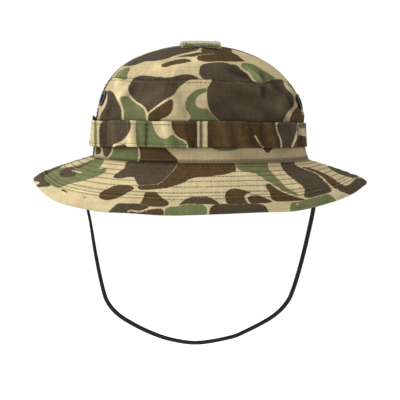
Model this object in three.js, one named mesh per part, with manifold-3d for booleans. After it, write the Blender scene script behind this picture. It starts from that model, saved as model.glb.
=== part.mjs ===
// A boonie hat: an oval soft crown with a rounded tip, a short quilted brim that droops at the
// front and the back, a foliage band tacked round the crown, screened vent eyelets, a loop-pile
// patch on the tip and a chin cord. Millimetres, +Z up, -Y is the front. The origin is the centre
// of the head opening, in the plane where the crown meets the brim.
import * as THREE from 'three';
import Module from 'manifold-3d';
import { mergeVertices } from 'three/addons/utils/BufferGeometryUtils.js';

const wasm = await Module();
wasm.setup();

// ---- Driving dimensions ----
const seamGap = 0.3; // clearance that stands for every sewn or pressed join

const wallHalfWidth = 91.5; // outside of the crown wall at the head opening
const wallHalfLength = 103.5;
const wallHeight = 68.5; // head opening to the tip seam
const wallFoot = 0.5; // lower edge of the wall and of the sweatband
const wallInset = 15.3; // how far the wall leans in by the tip seam
const wallLeanShare = 0.2; // part of that lean that is straight, the rest curves in near the top
const wallLeanPower = 4.1;
const crownCloth = 1.2;

const tipHalfWidth = wallHalfWidth - wallInset;
const tipHalfLength = wallHalfLength - wallInset;
const tipRise = 30; // dome above the tip seam
const tipShare = 0.75; // the dome is a blend of a soft and a tight curve
const tipSoftPower = 2.5;
const tipTightPower = 5;

const brimWidth = 54.2; // along the cloth, binding included
const brimSeatHeight = 2.5; // top of the brim where it meets the wall
const brimSideDrop = 20;
const brimFrontDrop = 37.5;
const brimDroopFrom = 30; // degrees from the front or the back where the droop starts to ease
const brimDroopTo = 88; // and where the brim is at its side height
const brimDroopTurn = 4; // the droop sits this many degrees towards -X
const brimStraightShare = 0.76; // of the droop, the rest turns down at the edge
const brimEdgePower = 6;
const brimList = 1.6; // the brim hangs this much lower towards +X and higher towards -X
const brimListReach = 0.9; // share of the brim over which the list grows
const brimDips = [ // degrees towards +X, height at the edge and half width of each slow wave
  [-62, -2.5, 16], [0, -0.6, 18], [20, 1.0, 16], [68, 1.6, 16], [140, 1.4, 20],
  [-130, 1.2, 20], [176, -1.5, 22],
];
const brimSeatShare = 0.12; // next to the wall the plies are cut level with each other
const brimMiddleRows = [22, 35]; // rows of the plies' mesh, along the cloth
const brimCloth = 0.7;
const interliningCloth = 0.8;
const plyGap = 0.45; // clearance between the plies, wider because the brim is twisted

const bindingCloth = 0.9;
const bindingWidth = 11;

const sweatbandCloth = 1.2;
const sweatbandHeight = 30;

const bandCloth = 1.1;
const bandLow = 11.2;
const bandHigh = 33.2;
const bandTacks = 12;
const bandPuff = 2.6; // how far a loop stands off the wall between two tacks
const bandOpenLoop = 2; // loops from the front towards the wearer's right, -X
const bandOpenPuff = 5.2;
const bandFlatLoop = 9; // this one lies nearly flat
const bandFlatPuff = 0.5;
const bandPuffPower = 1.1; // how full a loop is
const stepsPerLoop = 8;

const patchWidth = 33.5;
const patchLength = 64;
const patchMiddle = -10; // it sits a little forward of the middle of the tip
const patchTop = 101.3;
const patchCloth = 3.4; // where it bends down with the dome
const patchCells = [6, 10];

const ventHeight = 51.6;
const ventSideAngle = 17; // degrees from the side seam
const ventBarrelRadius = 4.9;
const ventBoreRadius = 4.3;
const ventMouthRadius = 3.6;
const ventFlangeRadius = 7;
const ventFlangeCloth = 1.1;
const ventFlangeEdge = 0.6; // height of the flange's outer edge
const ventFlangeBevel = 0.5;
const ventMouthBevel = 0.4;
const ventMouthEdge = 0.8;
const ventHoleDepth = 12;
const washerOverhang = 0.1;
const ventWasherTop = -2.25;
const ventWasherCloth = 0.8;
const ventRollTop = -3.4;
const ventRollBase = -3.8;
const ventRollRadius = 5.6;
const ventScreenRadius = 4.0;
const ventScreenTop = 0.2;
const ventScreenCloth = 0.55;
const ventMeshPitch = 1.7;
const ventMeshHole = 1.1;

const cordWidth = 3.6;
const cordThickness = 2.2;
const cordExitX = 91;
const cordAxisHeight = -4.4;
const cordEndGap = 0.5;
const cordSteps = 58;
const tabWidth = 10;
const tabLow = -7.4;
const tabHigh = 0.15;
const tabCloth = 4;
const tabCorner = 2.4;

const stepsAround = 48;
const stepsRoundVent = 14;
const fullTurn = 2 * Math.PI;
const degree = Math.PI / 180;

// ---- Materials ----
function cloth(name, color, roughness)
{
  return new THREE.MeshStandardMaterial({ name, color, roughness, metalness: 0 });
}

function metal(name, color)
{
  return new THREE.MeshStandardMaterial({ name, color, roughness: 0.45, metalness: 0.7 });
}

const tanCloth = () => cloth('camouflage_cloth', 0xcebe98, 0.9);
const brownCloth = () => cloth('camouflage_cloth', 0x68543d, 0.9);
const greenCloth = () => cloth('camouflage_cloth', 0x82865c, 0.9);

// ---- Shaping helpers ----

// Moves every vertex of a geometry to where place(x, y, z) puts it.
function bend(geometry, place)
{
  const position = geometry.getAttribute('position');
  for (let i = 0; i < position.count; i += 1)
  {
    const point = place(position.getX(i), position.getY(i), position.getZ(i));
    position.setXYZ(i, point.x, point.y, point.z);
  }
  geometry.computeVertexNormals();
  return geometry;
}

// A closed hoop. The section is a closed outline of (s, d) pairs, listed so that the far side of
// the outline goes up, and place(angle, s, d) says where each of its points lands.
function hoop(section, steps, place)
{
  const profile = section.map(([s, d]) => new THREE.Vector2(1 + s, d));
  profile.push(profile[0].clone());
  const lathe = new THREE.LatheGeometry(profile, steps);
  return bend(lathe, (x, y, z) => place(Math.atan2(x, z), Math.hypot(x, z) - 1, y));
}

// A hoop's flat section: the places along its length, between two depths.
function stripSection(along, dLow, dHigh)
{
  const under = along.map((s) => [s, dLow]);
  const over = along.map((s) => [s, dHigh]).reverse();
  return [...under, ...over];
}

// A curved strip of cloth between two angles and two heights.
function strip(angles, heights, depths, steps, rows, place)
{
  const box = new THREE.BoxGeometry(1, 1, 1, steps, rows, 1);
  const pick = ([low, high], t) => THREE.MathUtils.lerp(low, high, t + 0.5);
  return bend(box, (x, y, z) => place(pick(angles, x), pick(heights, y), pick(depths, z)));
}

// ---- The crown's wall, the tip's dome and the brim as surfaces ----

// The outward direction of an oval at a given angle, 0 at the front and 90 degrees at +X.
function ovalNormal(halfWidth, halfLength, angle)
{
  return new THREE.Vector3(halfLength * Math.sin(angle), -halfWidth * Math.cos(angle), 0).normalize();
}

function ovalPoint(halfWidth, halfLength, angle, height)
{
  return new THREE.Vector3(halfWidth * Math.sin(angle), -halfLength * Math.cos(angle), height);
}

function wallNormal(angle, height)
{
  const t = Math.max(height, 0) / wallHeight;
  const curve = (1 - wallLeanShare) * wallLeanPower * t ** (wallLeanPower - 1);
  const lean = wallInset / wallHeight * (wallLeanShare + curve);
  const normal = ovalNormal(wallHalfWidth, wallHalfLength, angle);
  normal.z = lean;
  return normal.normalize();
}

// A point of the crown wall, offset from its outer face along the cloth's normal.
function wallPoint(angle, height, offset)
{
  const t = Math.max(height, 0) / wallHeight;
  const inset = wallInset * (wallLeanShare * t + (1 - wallLeanShare) * t ** wallLeanPower);
  const point = ovalPoint(wallHalfWidth - inset, wallHalfLength - inset, angle, height);
  return point.addScaledVector(wallNormal(angle, height), offset);
}

// How far the dome has fallen, 0 at its middle and 1 at the tip seam.
function tipFall(share)
{
  return tipShare * share ** tipSoftPower + (1 - tipShare) * share ** tipTightPower;
}

// A point of the tip's dome. share is 0 at the middle and 1 at the tip seam.
function tipPoint(angle, share, offset)
{
  const softSlope = tipShare * tipSoftPower * share ** (tipSoftPower - 1);
  const tightSlope = (1 - tipShare) * tipTightPower * share ** (tipTightPower - 1);
  const slope = tipRise * (softSlope + tightSlope);
  const height = wallHeight + tipRise * (1 - tipFall(share));
  const point = ovalPoint(share * tipHalfWidth, share * tipHalfLength, angle, height);
  const across = slope * Math.sin(angle) / tipHalfWidth;
  const along = -slope * Math.cos(angle) / tipHalfLength;
  const normal = new THREE.Vector3(across, along, 1).normalize();
  return point.addScaledVector(normal, offset);
}

// Slow waves of the soft brim, and its list to one side.
function brimWave(angle, u)
{
  let wave = -brimList * Math.sin(angle) ** 3 * Math.min(1, u / brimListReach);
  for (const [middle, rise, width] of brimDips)
  {
    const away = THREE.MathUtils.euclideanModulo(angle / degree - middle + 180, 360) - 180;
    wave += rise * Math.exp(-((away / width) ** 2)) * Math.max(u, 0) ** 1.6;
  }
  return wave;
}

// A point of the brim. reach is the way along the cloth from the crown, offset is above its top face.
function brimPoint(angle, reach, offset)
{
  const fromMiddle = Math.asin(Math.abs(Math.sin(angle + brimDroopTurn * degree))) / degree;
  const saddle = 1 - THREE.MathUtils.smoothstep(fromMiddle, brimDroopFrom, brimDroopTo);
  const drop = brimSideDrop + (brimFrontDrop - brimSideDrop) * saddle;
  const level = Math.sqrt(brimWidth ** 2 - drop ** 2);
  const u = reach / brimWidth;
  const fall = brimStraightShare * u + (1 - brimStraightShare) * u ** brimEdgePower;
  const slope = brimStraightShare + (1 - brimStraightShare) * brimEdgePower * u ** (brimEdgePower - 1);
  const outward = ovalNormal(wallHalfWidth, wallHalfLength, angle);
  const point = ovalPoint(wallHalfWidth, wallHalfLength, angle, brimSeatHeight - drop * fall);
  const tilt = new THREE.Vector2(drop * slope, level).normalize();
  const seat = Math.min(1, u / brimSeatShare);
  point.addScaledVector(outward, 2 * seamGap + level * u + seat * tilt.x * offset);
  point.z += tilt.y * offset + brimWave(angle, u);
  return point;
}

// ---- Boolean cuts ----
function toSolid(geometry, matrix = new THREE.Matrix4())
{
  const bare = geometry.clone().applyMatrix4(matrix);
  bare.deleteAttribute('normal');
  bare.deleteAttribute('uv');
  const merged = mergeVertices(bare, 1e-4);
  const vertProperties = new Float32Array(merged.getAttribute('position').array);
  const triVerts = new Uint32Array(merged.getIndex().array);
  return new wasm.Manifold(new wasm.Mesh({ numProp: 3, vertProperties, triVerts }));
}

function fromSolid(solid)
{
  const mesh = solid.getMesh();
  const geometry = new THREE.BufferGeometry();
  geometry.setAttribute('position', new THREE.Float32BufferAttribute(mesh.vertProperties, 3));
  geometry.setIndex(new THREE.Uint32BufferAttribute(mesh.triVerts, 1));
  geometry.computeVertexNormals();
  return geometry;
}

// ---- Assembly ----
const hat = new THREE.Group();

function addMesh(name, geometry, material, parent = hat)
{
  const mesh = new THREE.Mesh(geometry, material);
  mesh.name = name;
  parent.add(mesh);
  return mesh;
}

// The four vents: each has its place on the wall and faces along the wall's normal.
const vents = [
  { name: 'front_left', angle: -(90 - ventSideAngle) * degree },
  { name: 'front_right', angle: (90 - ventSideAngle) * degree },
  { name: 'rear_left', angle: -(90 + ventSideAngle) * degree },
  { name: 'rear_right', angle: (90 + ventSideAngle) * degree },
];
for (const vent of vents)
{
  vent.group = new THREE.Group();
  vent.group.position.copy(wallPoint(vent.angle, ventHeight, seamGap));
  const up = new THREE.Vector3(0, 0, 1);
  vent.group.quaternion.setFromUnitVectors(up, wallNormal(vent.angle, ventHeight));
  vent.group.updateMatrix();
  hat.add(vent.group);
}

// Crown wall: two half panels that meet at the side seams, with a hole for each vent's barrel.
function crownPanel(middleAngle)
{
  const seamAngle = seamGap / 2 / wallHalfLength;
  const angles = [middleAngle - Math.PI / 2 + seamAngle, middleAngle + Math.PI / 2 - seamAngle];
  const heights = [wallFoot, wallHeight - seamGap];
  const sheet = strip(angles, heights, [-crownCloth, 0], stepsAround / 2, 7, wallPoint);
  let solid = toSolid(sheet);
  for (const vent of vents)
  {
    const radius = ventBarrelRadius + seamGap;
    const hole = new THREE.CylinderGeometry(radius, radius, ventHoleDepth, stepsRoundVent);
    hole.rotateX(Math.PI / 2);
    solid = solid.subtract(toSolid(hole, vent.group.matrix));
  }
  return fromSolid(solid);
}
addMesh('crown_front_panel', crownPanel(0), brownCloth());
addMesh('crown_rear_panel', crownPanel(Math.PI), brownCloth());

// Crown tip: a domed oval, thick as the wall, with a rounded edge at the tip seam.
function crownTip()
{
  const shares = [0, 0.25, 0.48, 0.68, 0.84, 0.94, 0.997];
  const under = shares.map((share) => new THREE.Vector2(share, 0));
  const over = shares.map((share) => new THREE.Vector2(share, 1)).reverse();
  const lathe = new THREE.LatheGeometry([...under, ...over], stepsAround);
  const place = (x, y, z) => tipPoint(Math.atan2(x, z), Math.hypot(x, z), (y - 1) * crownCloth);
  return bend(lathe, place);
}
addMesh('crown_tip', crownTip(), brownCloth());

// Sweatband: a soft strip inside the foot of the wall.
function sweatband()
{
  const outside = -crownCloth - seamGap;
  const along = [wallFoot, wallFoot + sweatbandHeight / 2, wallFoot + sweatbandHeight];
  const section = stripSection(along, outside - sweatbandCloth, outside);
  return hoop(section.reverse(), stepsAround, wallPoint);
}
addMesh('sweatband', sweatband(), cloth('sweatband_cloth', 0x8d8261, 0.95));

// Foliage band: one strip tacked to the wall at even steps, standing off it in loops between them.
function bandStandOff(angle)
{
  const turn = THREE.MathUtils.euclideanModulo(angle / fullTurn * bandTacks, bandTacks);
  const loop = Math.floor(turn);
  const last = bandTacks - 1;
  const puffs = { [last - bandOpenLoop]: bandOpenPuff, [last - bandFlatLoop]: bandFlatPuff };
  return (puffs[loop] ?? bandPuff) * Math.sin(Math.PI * (turn - loop)) ** bandPuffPower;
}

function foliageBand()
{
  const section = stripSection([bandLow, (bandLow + bandHigh) / 2, bandHigh], 0, bandCloth);
  const place = (angle, s, d) => wallPoint(angle, s, seamGap + bandStandOff(angle) + d);
  return hoop(section.reverse(), bandTacks * stepsPerLoop, place);
}
addMesh('foliage_band', foliageBand(), greenCloth());

// Brim: three plies, one above the other, and a folded binding round their edge.
function brimPly(top, thickness)
{
  const edge = brimWidth - bindingCloth - seamGap;
  const along = [0, brimSeatShare * brimWidth, ...brimMiddleRows, brimWidth - bindingWidth, edge];
  return hoop(stripSection(along, -top - thickness, -top), stepsAround, brimPoint);
}
const interliningTop = brimCloth + plyGap;
const lowerPlyTop = interliningTop + interliningCloth + plyGap;
const brimThickness = lowerPlyTop + brimCloth;
addMesh('brim_upper_ply', brimPly(0, brimCloth), tanCloth());
const canvas = cloth('interlining', 0xd8d3c4, 0.95);
addMesh('brim_interlining', brimPly(interliningTop, interliningCloth), canvas);
addMesh('brim_lower_ply', brimPly(lowerPlyTop, brimCloth), tanCloth());

function brimBinding()
{
  const inner = brimWidth - bindingWidth;
  const web = brimWidth - bindingCloth;
  const over = plyGap + bindingCloth;
  const under = -brimThickness - plyGap - bindingCloth;
  const section = [
    [inner, under],
    [web, under],
    [brimWidth, under + bindingCloth],
    [brimWidth, over - bindingCloth],
    [web, over],
    [inner, over],
    [inner, over - bindingCloth],
    [web, over - bindingCloth],
    [web, under + bindingCloth],
    [inner, under + bindingCloth],
  ];
  return hoop(section, stepsAround, brimPoint);
}
addMesh('brim_binding', brimBinding(), greenCloth());

// Loop patch: flat on top in the middle, and its ends bend down with the dome.
function loopPatch()
{
  const slab = new THREE.BoxGeometry(patchWidth, patchLength, 1, ...patchCells, 1);
  return bend(slab, (x, y, z) =>
  {
    const along = y + patchMiddle;
    const share = Math.hypot(x / tipHalfWidth, along / tipHalfLength);
    const base = wallHeight + tipRise * (1 - tipFall(share));
    const height = z > 0 ? Math.min(patchTop, base + patchCloth) : base + seamGap;
    return new THREE.Vector3(x, along, height);
  });
}
addMesh('loop_patch', loopPatch(), cloth('loop_pile', 0x828063, 1));

// Vents: an eyelet with a rolled barrel, a washer behind the cloth and a mesh screen in the barrel.
function ventEyelet()
{
  const profile = [
    [ventBoreRadius, ventRollBase],
    [ventRollRadius, ventRollBase],
    [ventRollRadius, ventRollTop],
    [ventBarrelRadius, ventRollTop],
    [ventBarrelRadius, 0],
    [ventFlangeRadius, 0],
    [ventFlangeRadius, ventFlangeEdge],
    [ventFlangeRadius - ventFlangeBevel, ventFlangeCloth],
    [ventMouthRadius + ventMouthBevel, ventFlangeCloth],
    [ventMouthRadius, ventMouthEdge],
    [ventMouthRadius, ventScreenTop + seamGap],
    [ventBoreRadius, ventScreenTop + seamGap],
    [ventBoreRadius, ventRollBase],
  ];
  const points = profile.map(([r, h]) => new THREE.Vector2(r, h));
  const lathe = new THREE.LatheGeometry(points, stepsRoundVent);
  return lathe.rotateX(Math.PI / 2);
}

function ventWasher()
{
  const inner = ventBarrelRadius + seamGap;
  const outer = ventFlangeRadius + washerOverhang;
  const low = ventWasherTop - ventWasherCloth;
  const top = ventWasherTop;
  const profile = [[inner, low], [outer, low], [outer, top], [inner, top], [inner, low]];
  const points = profile.map(([r, h]) => new THREE.Vector2(r, h));
  const lathe = new THREE.LatheGeometry(points, stepsRoundVent);
  return lathe.rotateX(Math.PI / 2);
}

function ventScreen()
{
  const middle = ventScreenTop - ventScreenCloth / 2;
  const radius = ventScreenRadius;
  const disc = new THREE.CylinderGeometry(radius, radius, ventScreenCloth, stepsRoundVent);
  let plate = toSolid(disc.rotateX(Math.PI / 2).translate(0, 0, middle));
  for (let column = -1; column <= 1; column += 1)
  {
    for (let row = -1; row <= 1; row += 1)
    {
      const opening = new THREE.BoxGeometry(ventMeshHole, ventMeshHole, 2 * ventScreenCloth);
      opening.translate(column * ventMeshPitch, row * ventMeshPitch, middle);
      plate = plate.subtract(toSolid(opening));
    }
  }
  return fromSolid(plate);
}
for (const vent of vents)
{
  addMesh(`vent_eyelet_${vent.name}`, ventEyelet(), metal('vent_metal', 0x2a2822), vent.group);
  addMesh(`vent_washer_${vent.name}`, ventWasher(), metal('vent_metal', 0x2a2822), vent.group);
  addMesh(`vent_screen_${vent.name}`, ventScreen(), metal('vent_screen', 0x1d1c19), vent.group);
}

// Cord tabs: a folded tape at each side under the wall, which the cord's end is sewn into.
function cordTab(side)
{
  const half = tabWidth / 2;
  const outline = new THREE.Shape();
  outline.moveTo(-half, tabHigh);
  outline.lineTo(-half, tabLow + tabCorner);
  outline.quadraticCurveTo(-half, tabLow, -half + tabCorner, tabLow);
  outline.lineTo(half - tabCorner, tabLow);
  outline.quadraticCurveTo(half, tabLow, half, tabLow + tabCorner);
  outline.lineTo(half, tabHigh);
  const options = { depth: tabCloth, bevelEnabled: false, curveSegments: 4 };
  const tab = new THREE.ExtrudeGeometry(outline, options);
  tab.rotateX(Math.PI / 2);
  tab.rotateZ(Math.PI / 2);
  const centre = side * (cordExitX - cordEndGap - tabCloth / 2);
  return tab.translate(centre - tabCloth / 2, 0, 0);
}
addMesh('cord_tab_left', cordTab(-1), brownCloth());
addMesh('cord_tab_right', cordTab(1), brownCloth());

// Chin cord: out of one tab, down behind the brim, round in a loop and up into the other tab.
// Each pair is x and z; the cord hangs in the plane y = 0.
const cordRoute = [
  [-cordExitX, cordAxisHeight],
  [-94.4, -4.8],
  [-97.8, -7.3],
  [-99.7, -11.5],
  [-100, -17],
  [-98.9, -27],
  [-96.6, -40],
  [-93.9, -53],
  [-89.8, -79],
  [-85.9, -99.3],
  [-82.4, -114.2],
  [-79.6, -121.4],
  [-74.2, -128.8],
  [-64.8, -136.6],
  [-45.8, -146.9],
  [-25.7, -154.2],
  [-2, -157.4],
  [25.7, -152.9],
  [39.4, -147.6],
  [58.5, -137.6],
  [69.2, -129.5],
  [75.9, -121.3],
  [79.6, -113.5],
  [84.4, -98.6],
  [89.6, -78.8],
  [95.4, -53],
  [97.8, -40],
  [99.4, -27],
  [100, -17],
  [99.7, -11.5],
  [97.8, -7.3],
  [94.4, -4.8],
  [cordExitX, cordAxisHeight],
];

function chinCord()
{
  const path = new THREE.CatmullRomCurve3(cordRoute.map(([x, z]) => new THREE.Vector3(x, 0, z)));
  const section = new THREE.Shape();
  section.absellipse(0, 0, cordThickness / 2, cordWidth / 2, 0, fullTurn);
  return new THREE.ExtrudeGeometry(section, { steps: cordSteps, curveSegments: 4, extrudePath: path });
}
addMesh('chin_cord', chinCord(), cloth('cord_braid', 0x3f4434, 0.8));

export default hat;
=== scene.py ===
"""A boonie hat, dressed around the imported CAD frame: printed camouflage cloth with its quilted
brim and stitching, foliage band, screened vents, loop-pile patch and flat braided chin cord.

Shapes are worked out in millimetres and turned to metres when a mesh is made. An angle is 0 at
the front (-Y) and 90 degrees at the wearer's left (+X). Heights start at the head opening.
In the names of nodes and pieces, left is -X, as the hat is seen from the front.
"""
import math
import random

import bmesh
import bpy
import numpy as np
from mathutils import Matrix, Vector


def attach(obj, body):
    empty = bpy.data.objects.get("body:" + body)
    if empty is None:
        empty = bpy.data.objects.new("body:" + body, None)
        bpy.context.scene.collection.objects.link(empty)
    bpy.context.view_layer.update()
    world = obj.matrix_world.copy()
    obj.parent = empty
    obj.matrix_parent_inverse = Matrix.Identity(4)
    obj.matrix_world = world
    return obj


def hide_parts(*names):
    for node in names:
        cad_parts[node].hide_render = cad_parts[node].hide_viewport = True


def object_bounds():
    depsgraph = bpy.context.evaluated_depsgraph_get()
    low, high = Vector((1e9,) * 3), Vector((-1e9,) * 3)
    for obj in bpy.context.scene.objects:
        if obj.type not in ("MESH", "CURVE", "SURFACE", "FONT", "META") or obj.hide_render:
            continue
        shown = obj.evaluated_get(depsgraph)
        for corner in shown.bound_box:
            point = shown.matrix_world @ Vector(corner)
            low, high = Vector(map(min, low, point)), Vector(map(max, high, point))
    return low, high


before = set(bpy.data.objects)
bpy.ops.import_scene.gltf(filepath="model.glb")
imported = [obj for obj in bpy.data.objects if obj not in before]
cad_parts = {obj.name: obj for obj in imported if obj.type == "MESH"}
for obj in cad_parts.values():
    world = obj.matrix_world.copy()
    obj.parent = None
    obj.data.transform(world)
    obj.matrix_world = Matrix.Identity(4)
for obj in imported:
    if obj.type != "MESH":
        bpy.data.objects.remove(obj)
CAD_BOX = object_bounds()

MM = 0.001
DEGREE = math.pi / 180
FULL_TURN = 2 * math.pi

# ---- Sizes, as in the CAD model but for the foliage band's lower edge, open loop and drape ----
WALL_HALF_WIDTH = 91.5
WALL_HALF_LENGTH = 103.5
WALL_HEIGHT = 68.5
WALL_FOOT = 0.5
WALL_INSET = 15.3
WALL_LEAN_SHARE = 0.2
WALL_LEAN_POWER = 4.1
CROWN_CLOTH = 1.2
MEAN_RADIUS = (WALL_HALF_WIDTH + WALL_HALF_LENGTH) / 2

TIP_HALF_WIDTH = WALL_HALF_WIDTH - WALL_INSET
TIP_HALF_LENGTH = WALL_HALF_LENGTH - WALL_INSET
TIP_RISE = 30
TIP_SHARE = 0.75
TIP_SOFT_POWER = 2.5
TIP_TIGHT_POWER = 5

BRIM_WIDTH = 54.2
BRIM_SEAT_HEIGHT = 2.5
BRIM_SIDE_DROP = 20
BRIM_FRONT_DROP = 37.5
BRIM_DROOP_FROM = 30
BRIM_DROOP_TO = 88
BRIM_DROOP_TURN = 4
BRIM_STRAIGHT_SHARE = 0.76
BRIM_EDGE_POWER = 6
BRIM_SEAT_SHARE = 0.12
BRIM_CLOTH = 0.7
INTERLINING_CLOTH = 0.8
PLY_GAP = 0.45
INTERLINING_TOP = BRIM_CLOTH + PLY_GAP
LOWER_PLY_TOP = INTERLINING_TOP + INTERLINING_CLOTH + PLY_GAP
BRIM_THICKNESS = LOWER_PLY_TOP + BRIM_CLOTH
BINDING_WIDTH = 11
BINDING_CLOTH = 0.9

SEAM_GAP = 0.3
SWEATBAND_CLOTH = 1.2
SWEATBAND_HEIGHT = 30

BAND_LOW = 12.4
BAND_HIGH = 33.2
BAND_CLOTH = 1.1
BAND_TACKS = 12
BAND_PUFF = 2.6
BAND_OPEN_LOOP = 9
BAND_OPEN_PUFF = 3.2
BAND_PUFF_POWER = 1.1
BAND_FLAT_LOOP = 2
BAND_PRESS = 1.5  # the band draws the wall in at the wearer's left
BAND_GAPE_AT = -101 * DEGREE  # where the top of the band hangs open
BAND_GAPE = 1.6
BAND_LIFT_AT = -93 * DEGREE
BAND_LIFT = 2.8
BAND_FRONT_RISE = 2.1
BAND_LIST = 0.3
BAND_FOLDS = [  # degrees, depth and half width of each upright fold
    (-50, 0.7, 2.6), (-38.5, 0.9, 1.6), (-35, -0.7, 1.4), (-19, 0.8, 2.0), (-14.5, -0.6, 1.6),
    (-7.5, -0.8, 1.2), (10, 0.8, 1.6), (14, -0.5, 1.4), (18, 0.7, 1.6), (24, -0.7, 1.8), (35, 0.7, 2),
    (39.5, -0.6, 1.6), (53, 0.8, 2.2), (64, -0.8, 1.5), (-63, -0.7, 2), (120, 0.8, 2), (170, 0.8, 2),
    (-140, 0.8, 2), (-160, -0.7, 2),
]

VENT_HEIGHT = 51.6
VENT_SIDE_ANGLE = 17

CORD_WIDTH = 3.6
CORD_THICKNESS = 2.2
CORD_EXIT_X = 91
CORD_AXIS_HEIGHT = -4.4

# ---- How the cloth lies ----
SEAM_SINK = 0.18  # how far the cloth dips into a sewn seam
SEAM_SINK_WIDTH = 1.3
FOOT_FLARE = 1.5
TIP_PUCKERS = 88
TIP_PUCKER = 0.22
TIP_PUCKER_REACH = 5
EASED_AT = -0.34  # radians from the front, where spare cloth was eased into the tip seam
WALL_FOLDS = [  # degrees and height at both ends, depth and width
    (20, 78, 31, 74, -1.1, 3.5), (22, 68, 34, 60, 0.8, 4), (34, 80, 42, 66, 1.2, 4),
    (45, 76, 36, 58, -1.2, 3.5), (62, 66, 44, 46, 1.2, 4.5), (50, 66, 60, 52, -1.2, 4),
    (68, 54, 50, 38, -1.0, 4.5), (36, 50, 56, 40, 0.9, 4), (16, 50, 30, 40, 0.6, 5),
    (-24, 60, -36, 48, 0.8, 5), (-14, 56, -10, 40, -0.6, 4), (-30, 42, -22, 50, 0.7, 4),
    (-44, 58, -62, 40, -0.9, 5), (-66, 72, -52, 50, 0.8, 5), (-56, 44, -50, 60, 0.7, 4),
    (-6, 84, -34, 78, 0.6, 5), (-16, 90, 12, 82, 0.5, 5), (4, 44, 22, 58, -0.5, 5),
    (112, 60, 140, 42, 0.9, 6), (150, 74, 170, 48, -0.9, 6),
    (-110, 66, -140, 44, 0.8, 6), (-150, 50, -170, 66, -0.8, 6), (176, 80, 150, 88, 0.7, 6),
]
BRIM_ROW_FIRST = 6
BRIM_ROW_PITCH = 6.6
BRIM_ROWS = 6
BRIM_QUILT = 0.42
BRIM_PUCKER = 0.2
BRIM_WAVE = 0.35
BRIM_DIPS = [  # degrees round the brim, height at its edge and half width of each slow wave
    (-62, -2.5, 15), (-34, -0.7, 10), (-2, -0.9, 15), (16, 1.2, 13), (38, 0.6, 12), (68, 1.9, 13),
    (90, -1.0, 8), (140, 1.4, 18), (-130, 1.2, 20), (176, -1.5, 22),
]
BRIM_LIST = 1.6  # the brim hangs a little lower at the wearer's left
CROWN_LIST = 1.87
CROWN_SLUMP = 1.2
ROUND_STEPS = 480
THREAD_PITCH = 3.1  # from one stitch to the next

# ---- Camera: the photograph's front view, from a little above the head opening ----
EYE_DISTANCE = 1.4
EYE_HEIGHT = 0.060
EYE_YAW = 1.9 * DEGREE
AIM_HEIGHT = -0.034
LENS = 147.2

camera_data = bpy.data.cameras.new("camera")
camera_data.lens = LENS
camera_data.sensor_width = 36
camera = bpy.data.objects.new("camera", camera_data)
bpy.context.scene.collection.objects.link(camera)
eye = Vector((-EYE_DISTANCE * math.sin(EYE_YAW), -EYE_DISTANCE * math.cos(EYE_YAW), EYE_HEIGHT))
camera.location = eye
camera.rotation_euler = (Vector((0, 0, AIM_HEIGHT)) - eye).to_track_quat("-Z", "Y").to_euler()
bpy.context.scene.camera = camera


# ---- Mesh helpers ----
def cumulative(points):
    """Length along a row of points."""
    steps = np.linalg.norm(np.diff(points, axis=0), axis=1)
    return np.concatenate([[0], np.cumsum(steps)])


def add_object(name, mesh, body="hat", replaces=()):
    piece = bpy.data.objects.new(name, mesh)
    bpy.context.scene.collection.objects.link(piece)
    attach(piece, body)
    if replaces:
        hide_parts(*replaces)
    return piece


def mesh_from(name, points, faces, smooth=True):
    """A mesh from points in millimetres."""
    mesh = bpy.data.meshes.new(name)
    mesh.from_pydata((points * MM).tolist(), [], faces.tolist() if isinstance(faces, np.ndarray) else faces)
    mesh.polygons.foreach_set("use_smooth", [smooth] * len(mesh.polygons))
    mesh.update()
    return mesh


def set_field(mesh, name, values):
    attribute = mesh.attributes.new(name, "FLOAT", "POINT")
    attribute.data.foreach_set("value", np.asarray(values, dtype=np.float32).ravel())


def thick_sheet(name, top, bottom, closed, keep=None):
    """A closed sheet of cloth between two grids of points, row by row. closed joins the last
    column to the first. keep marks the cells that stay. The thread layer holds metres of cloth."""
    rows, columns = top.shape[:2]
    cells = columns if closed else columns - 1
    row, column = np.meshgrid(np.arange(rows - 1), np.arange(cells), indexing="ij")
    if keep is not None:
        row, column = row[keep], column[keep]
    row, column = row.ravel(), column.ravel()
    following = (column + 1) % columns
    corners = np.stack([row * columns + column, row * columns + following,
                        (row + 1) * columns + following, (row + 1) * columns + column], axis=1)
    along = cumulative(top[:, columns // 2])
    middle = top[rows // 2]
    around = cumulative(np.concatenate([middle, middle[:1]]) if closed else middle)
    corner_u = np.stack([around[column], around[column + 1], around[column + 1], around[column]], axis=1)
    corner_v = np.stack([along[row], along[row], along[row + 1], along[row + 1]], axis=1)

    count = rows * columns
    start = corners.ravel()
    end = np.roll(corners, -1, axis=1).ravel()
    border = np.flatnonzero(~np.isin(start * count + end, end * count + start))
    sides = np.stack([end[border], start[border], start[border] + count, end[border] + count], axis=1)
    top_uv = np.stack([corner_u, corner_v], axis=2)
    first = top_uv.reshape(-1, 2)[border]
    second = np.roll(top_uv, -1, axis=1).reshape(-1, 2)[border]
    side_uv = np.stack([second, first, first, second], axis=1)
    faces = np.concatenate([corners, corners[:, ::-1] + count, sides])
    mesh = mesh_from(name, np.concatenate([top.reshape(-1, 3), bottom.reshape(-1, 3)]), faces)
    uv = np.concatenate([top_uv, top_uv[:, ::-1], side_uv]) * MM
    layer = mesh.uv_layers.new(name="thread")
    layer.data.foreach_set("uv", uv.astype(np.float32).ravel())
    return mesh


def frames_along(points):
    """Unit steps along a row of points."""
    steps = np.gradient(points, axis=0)
    return steps / np.linalg.norm(steps, axis=1, keepdims=True)


def smooth_step(value, low, high):
    share = np.clip((value - low) / (high - low), 0, 1)
    return share * share * (3 - 2 * share)


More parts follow.
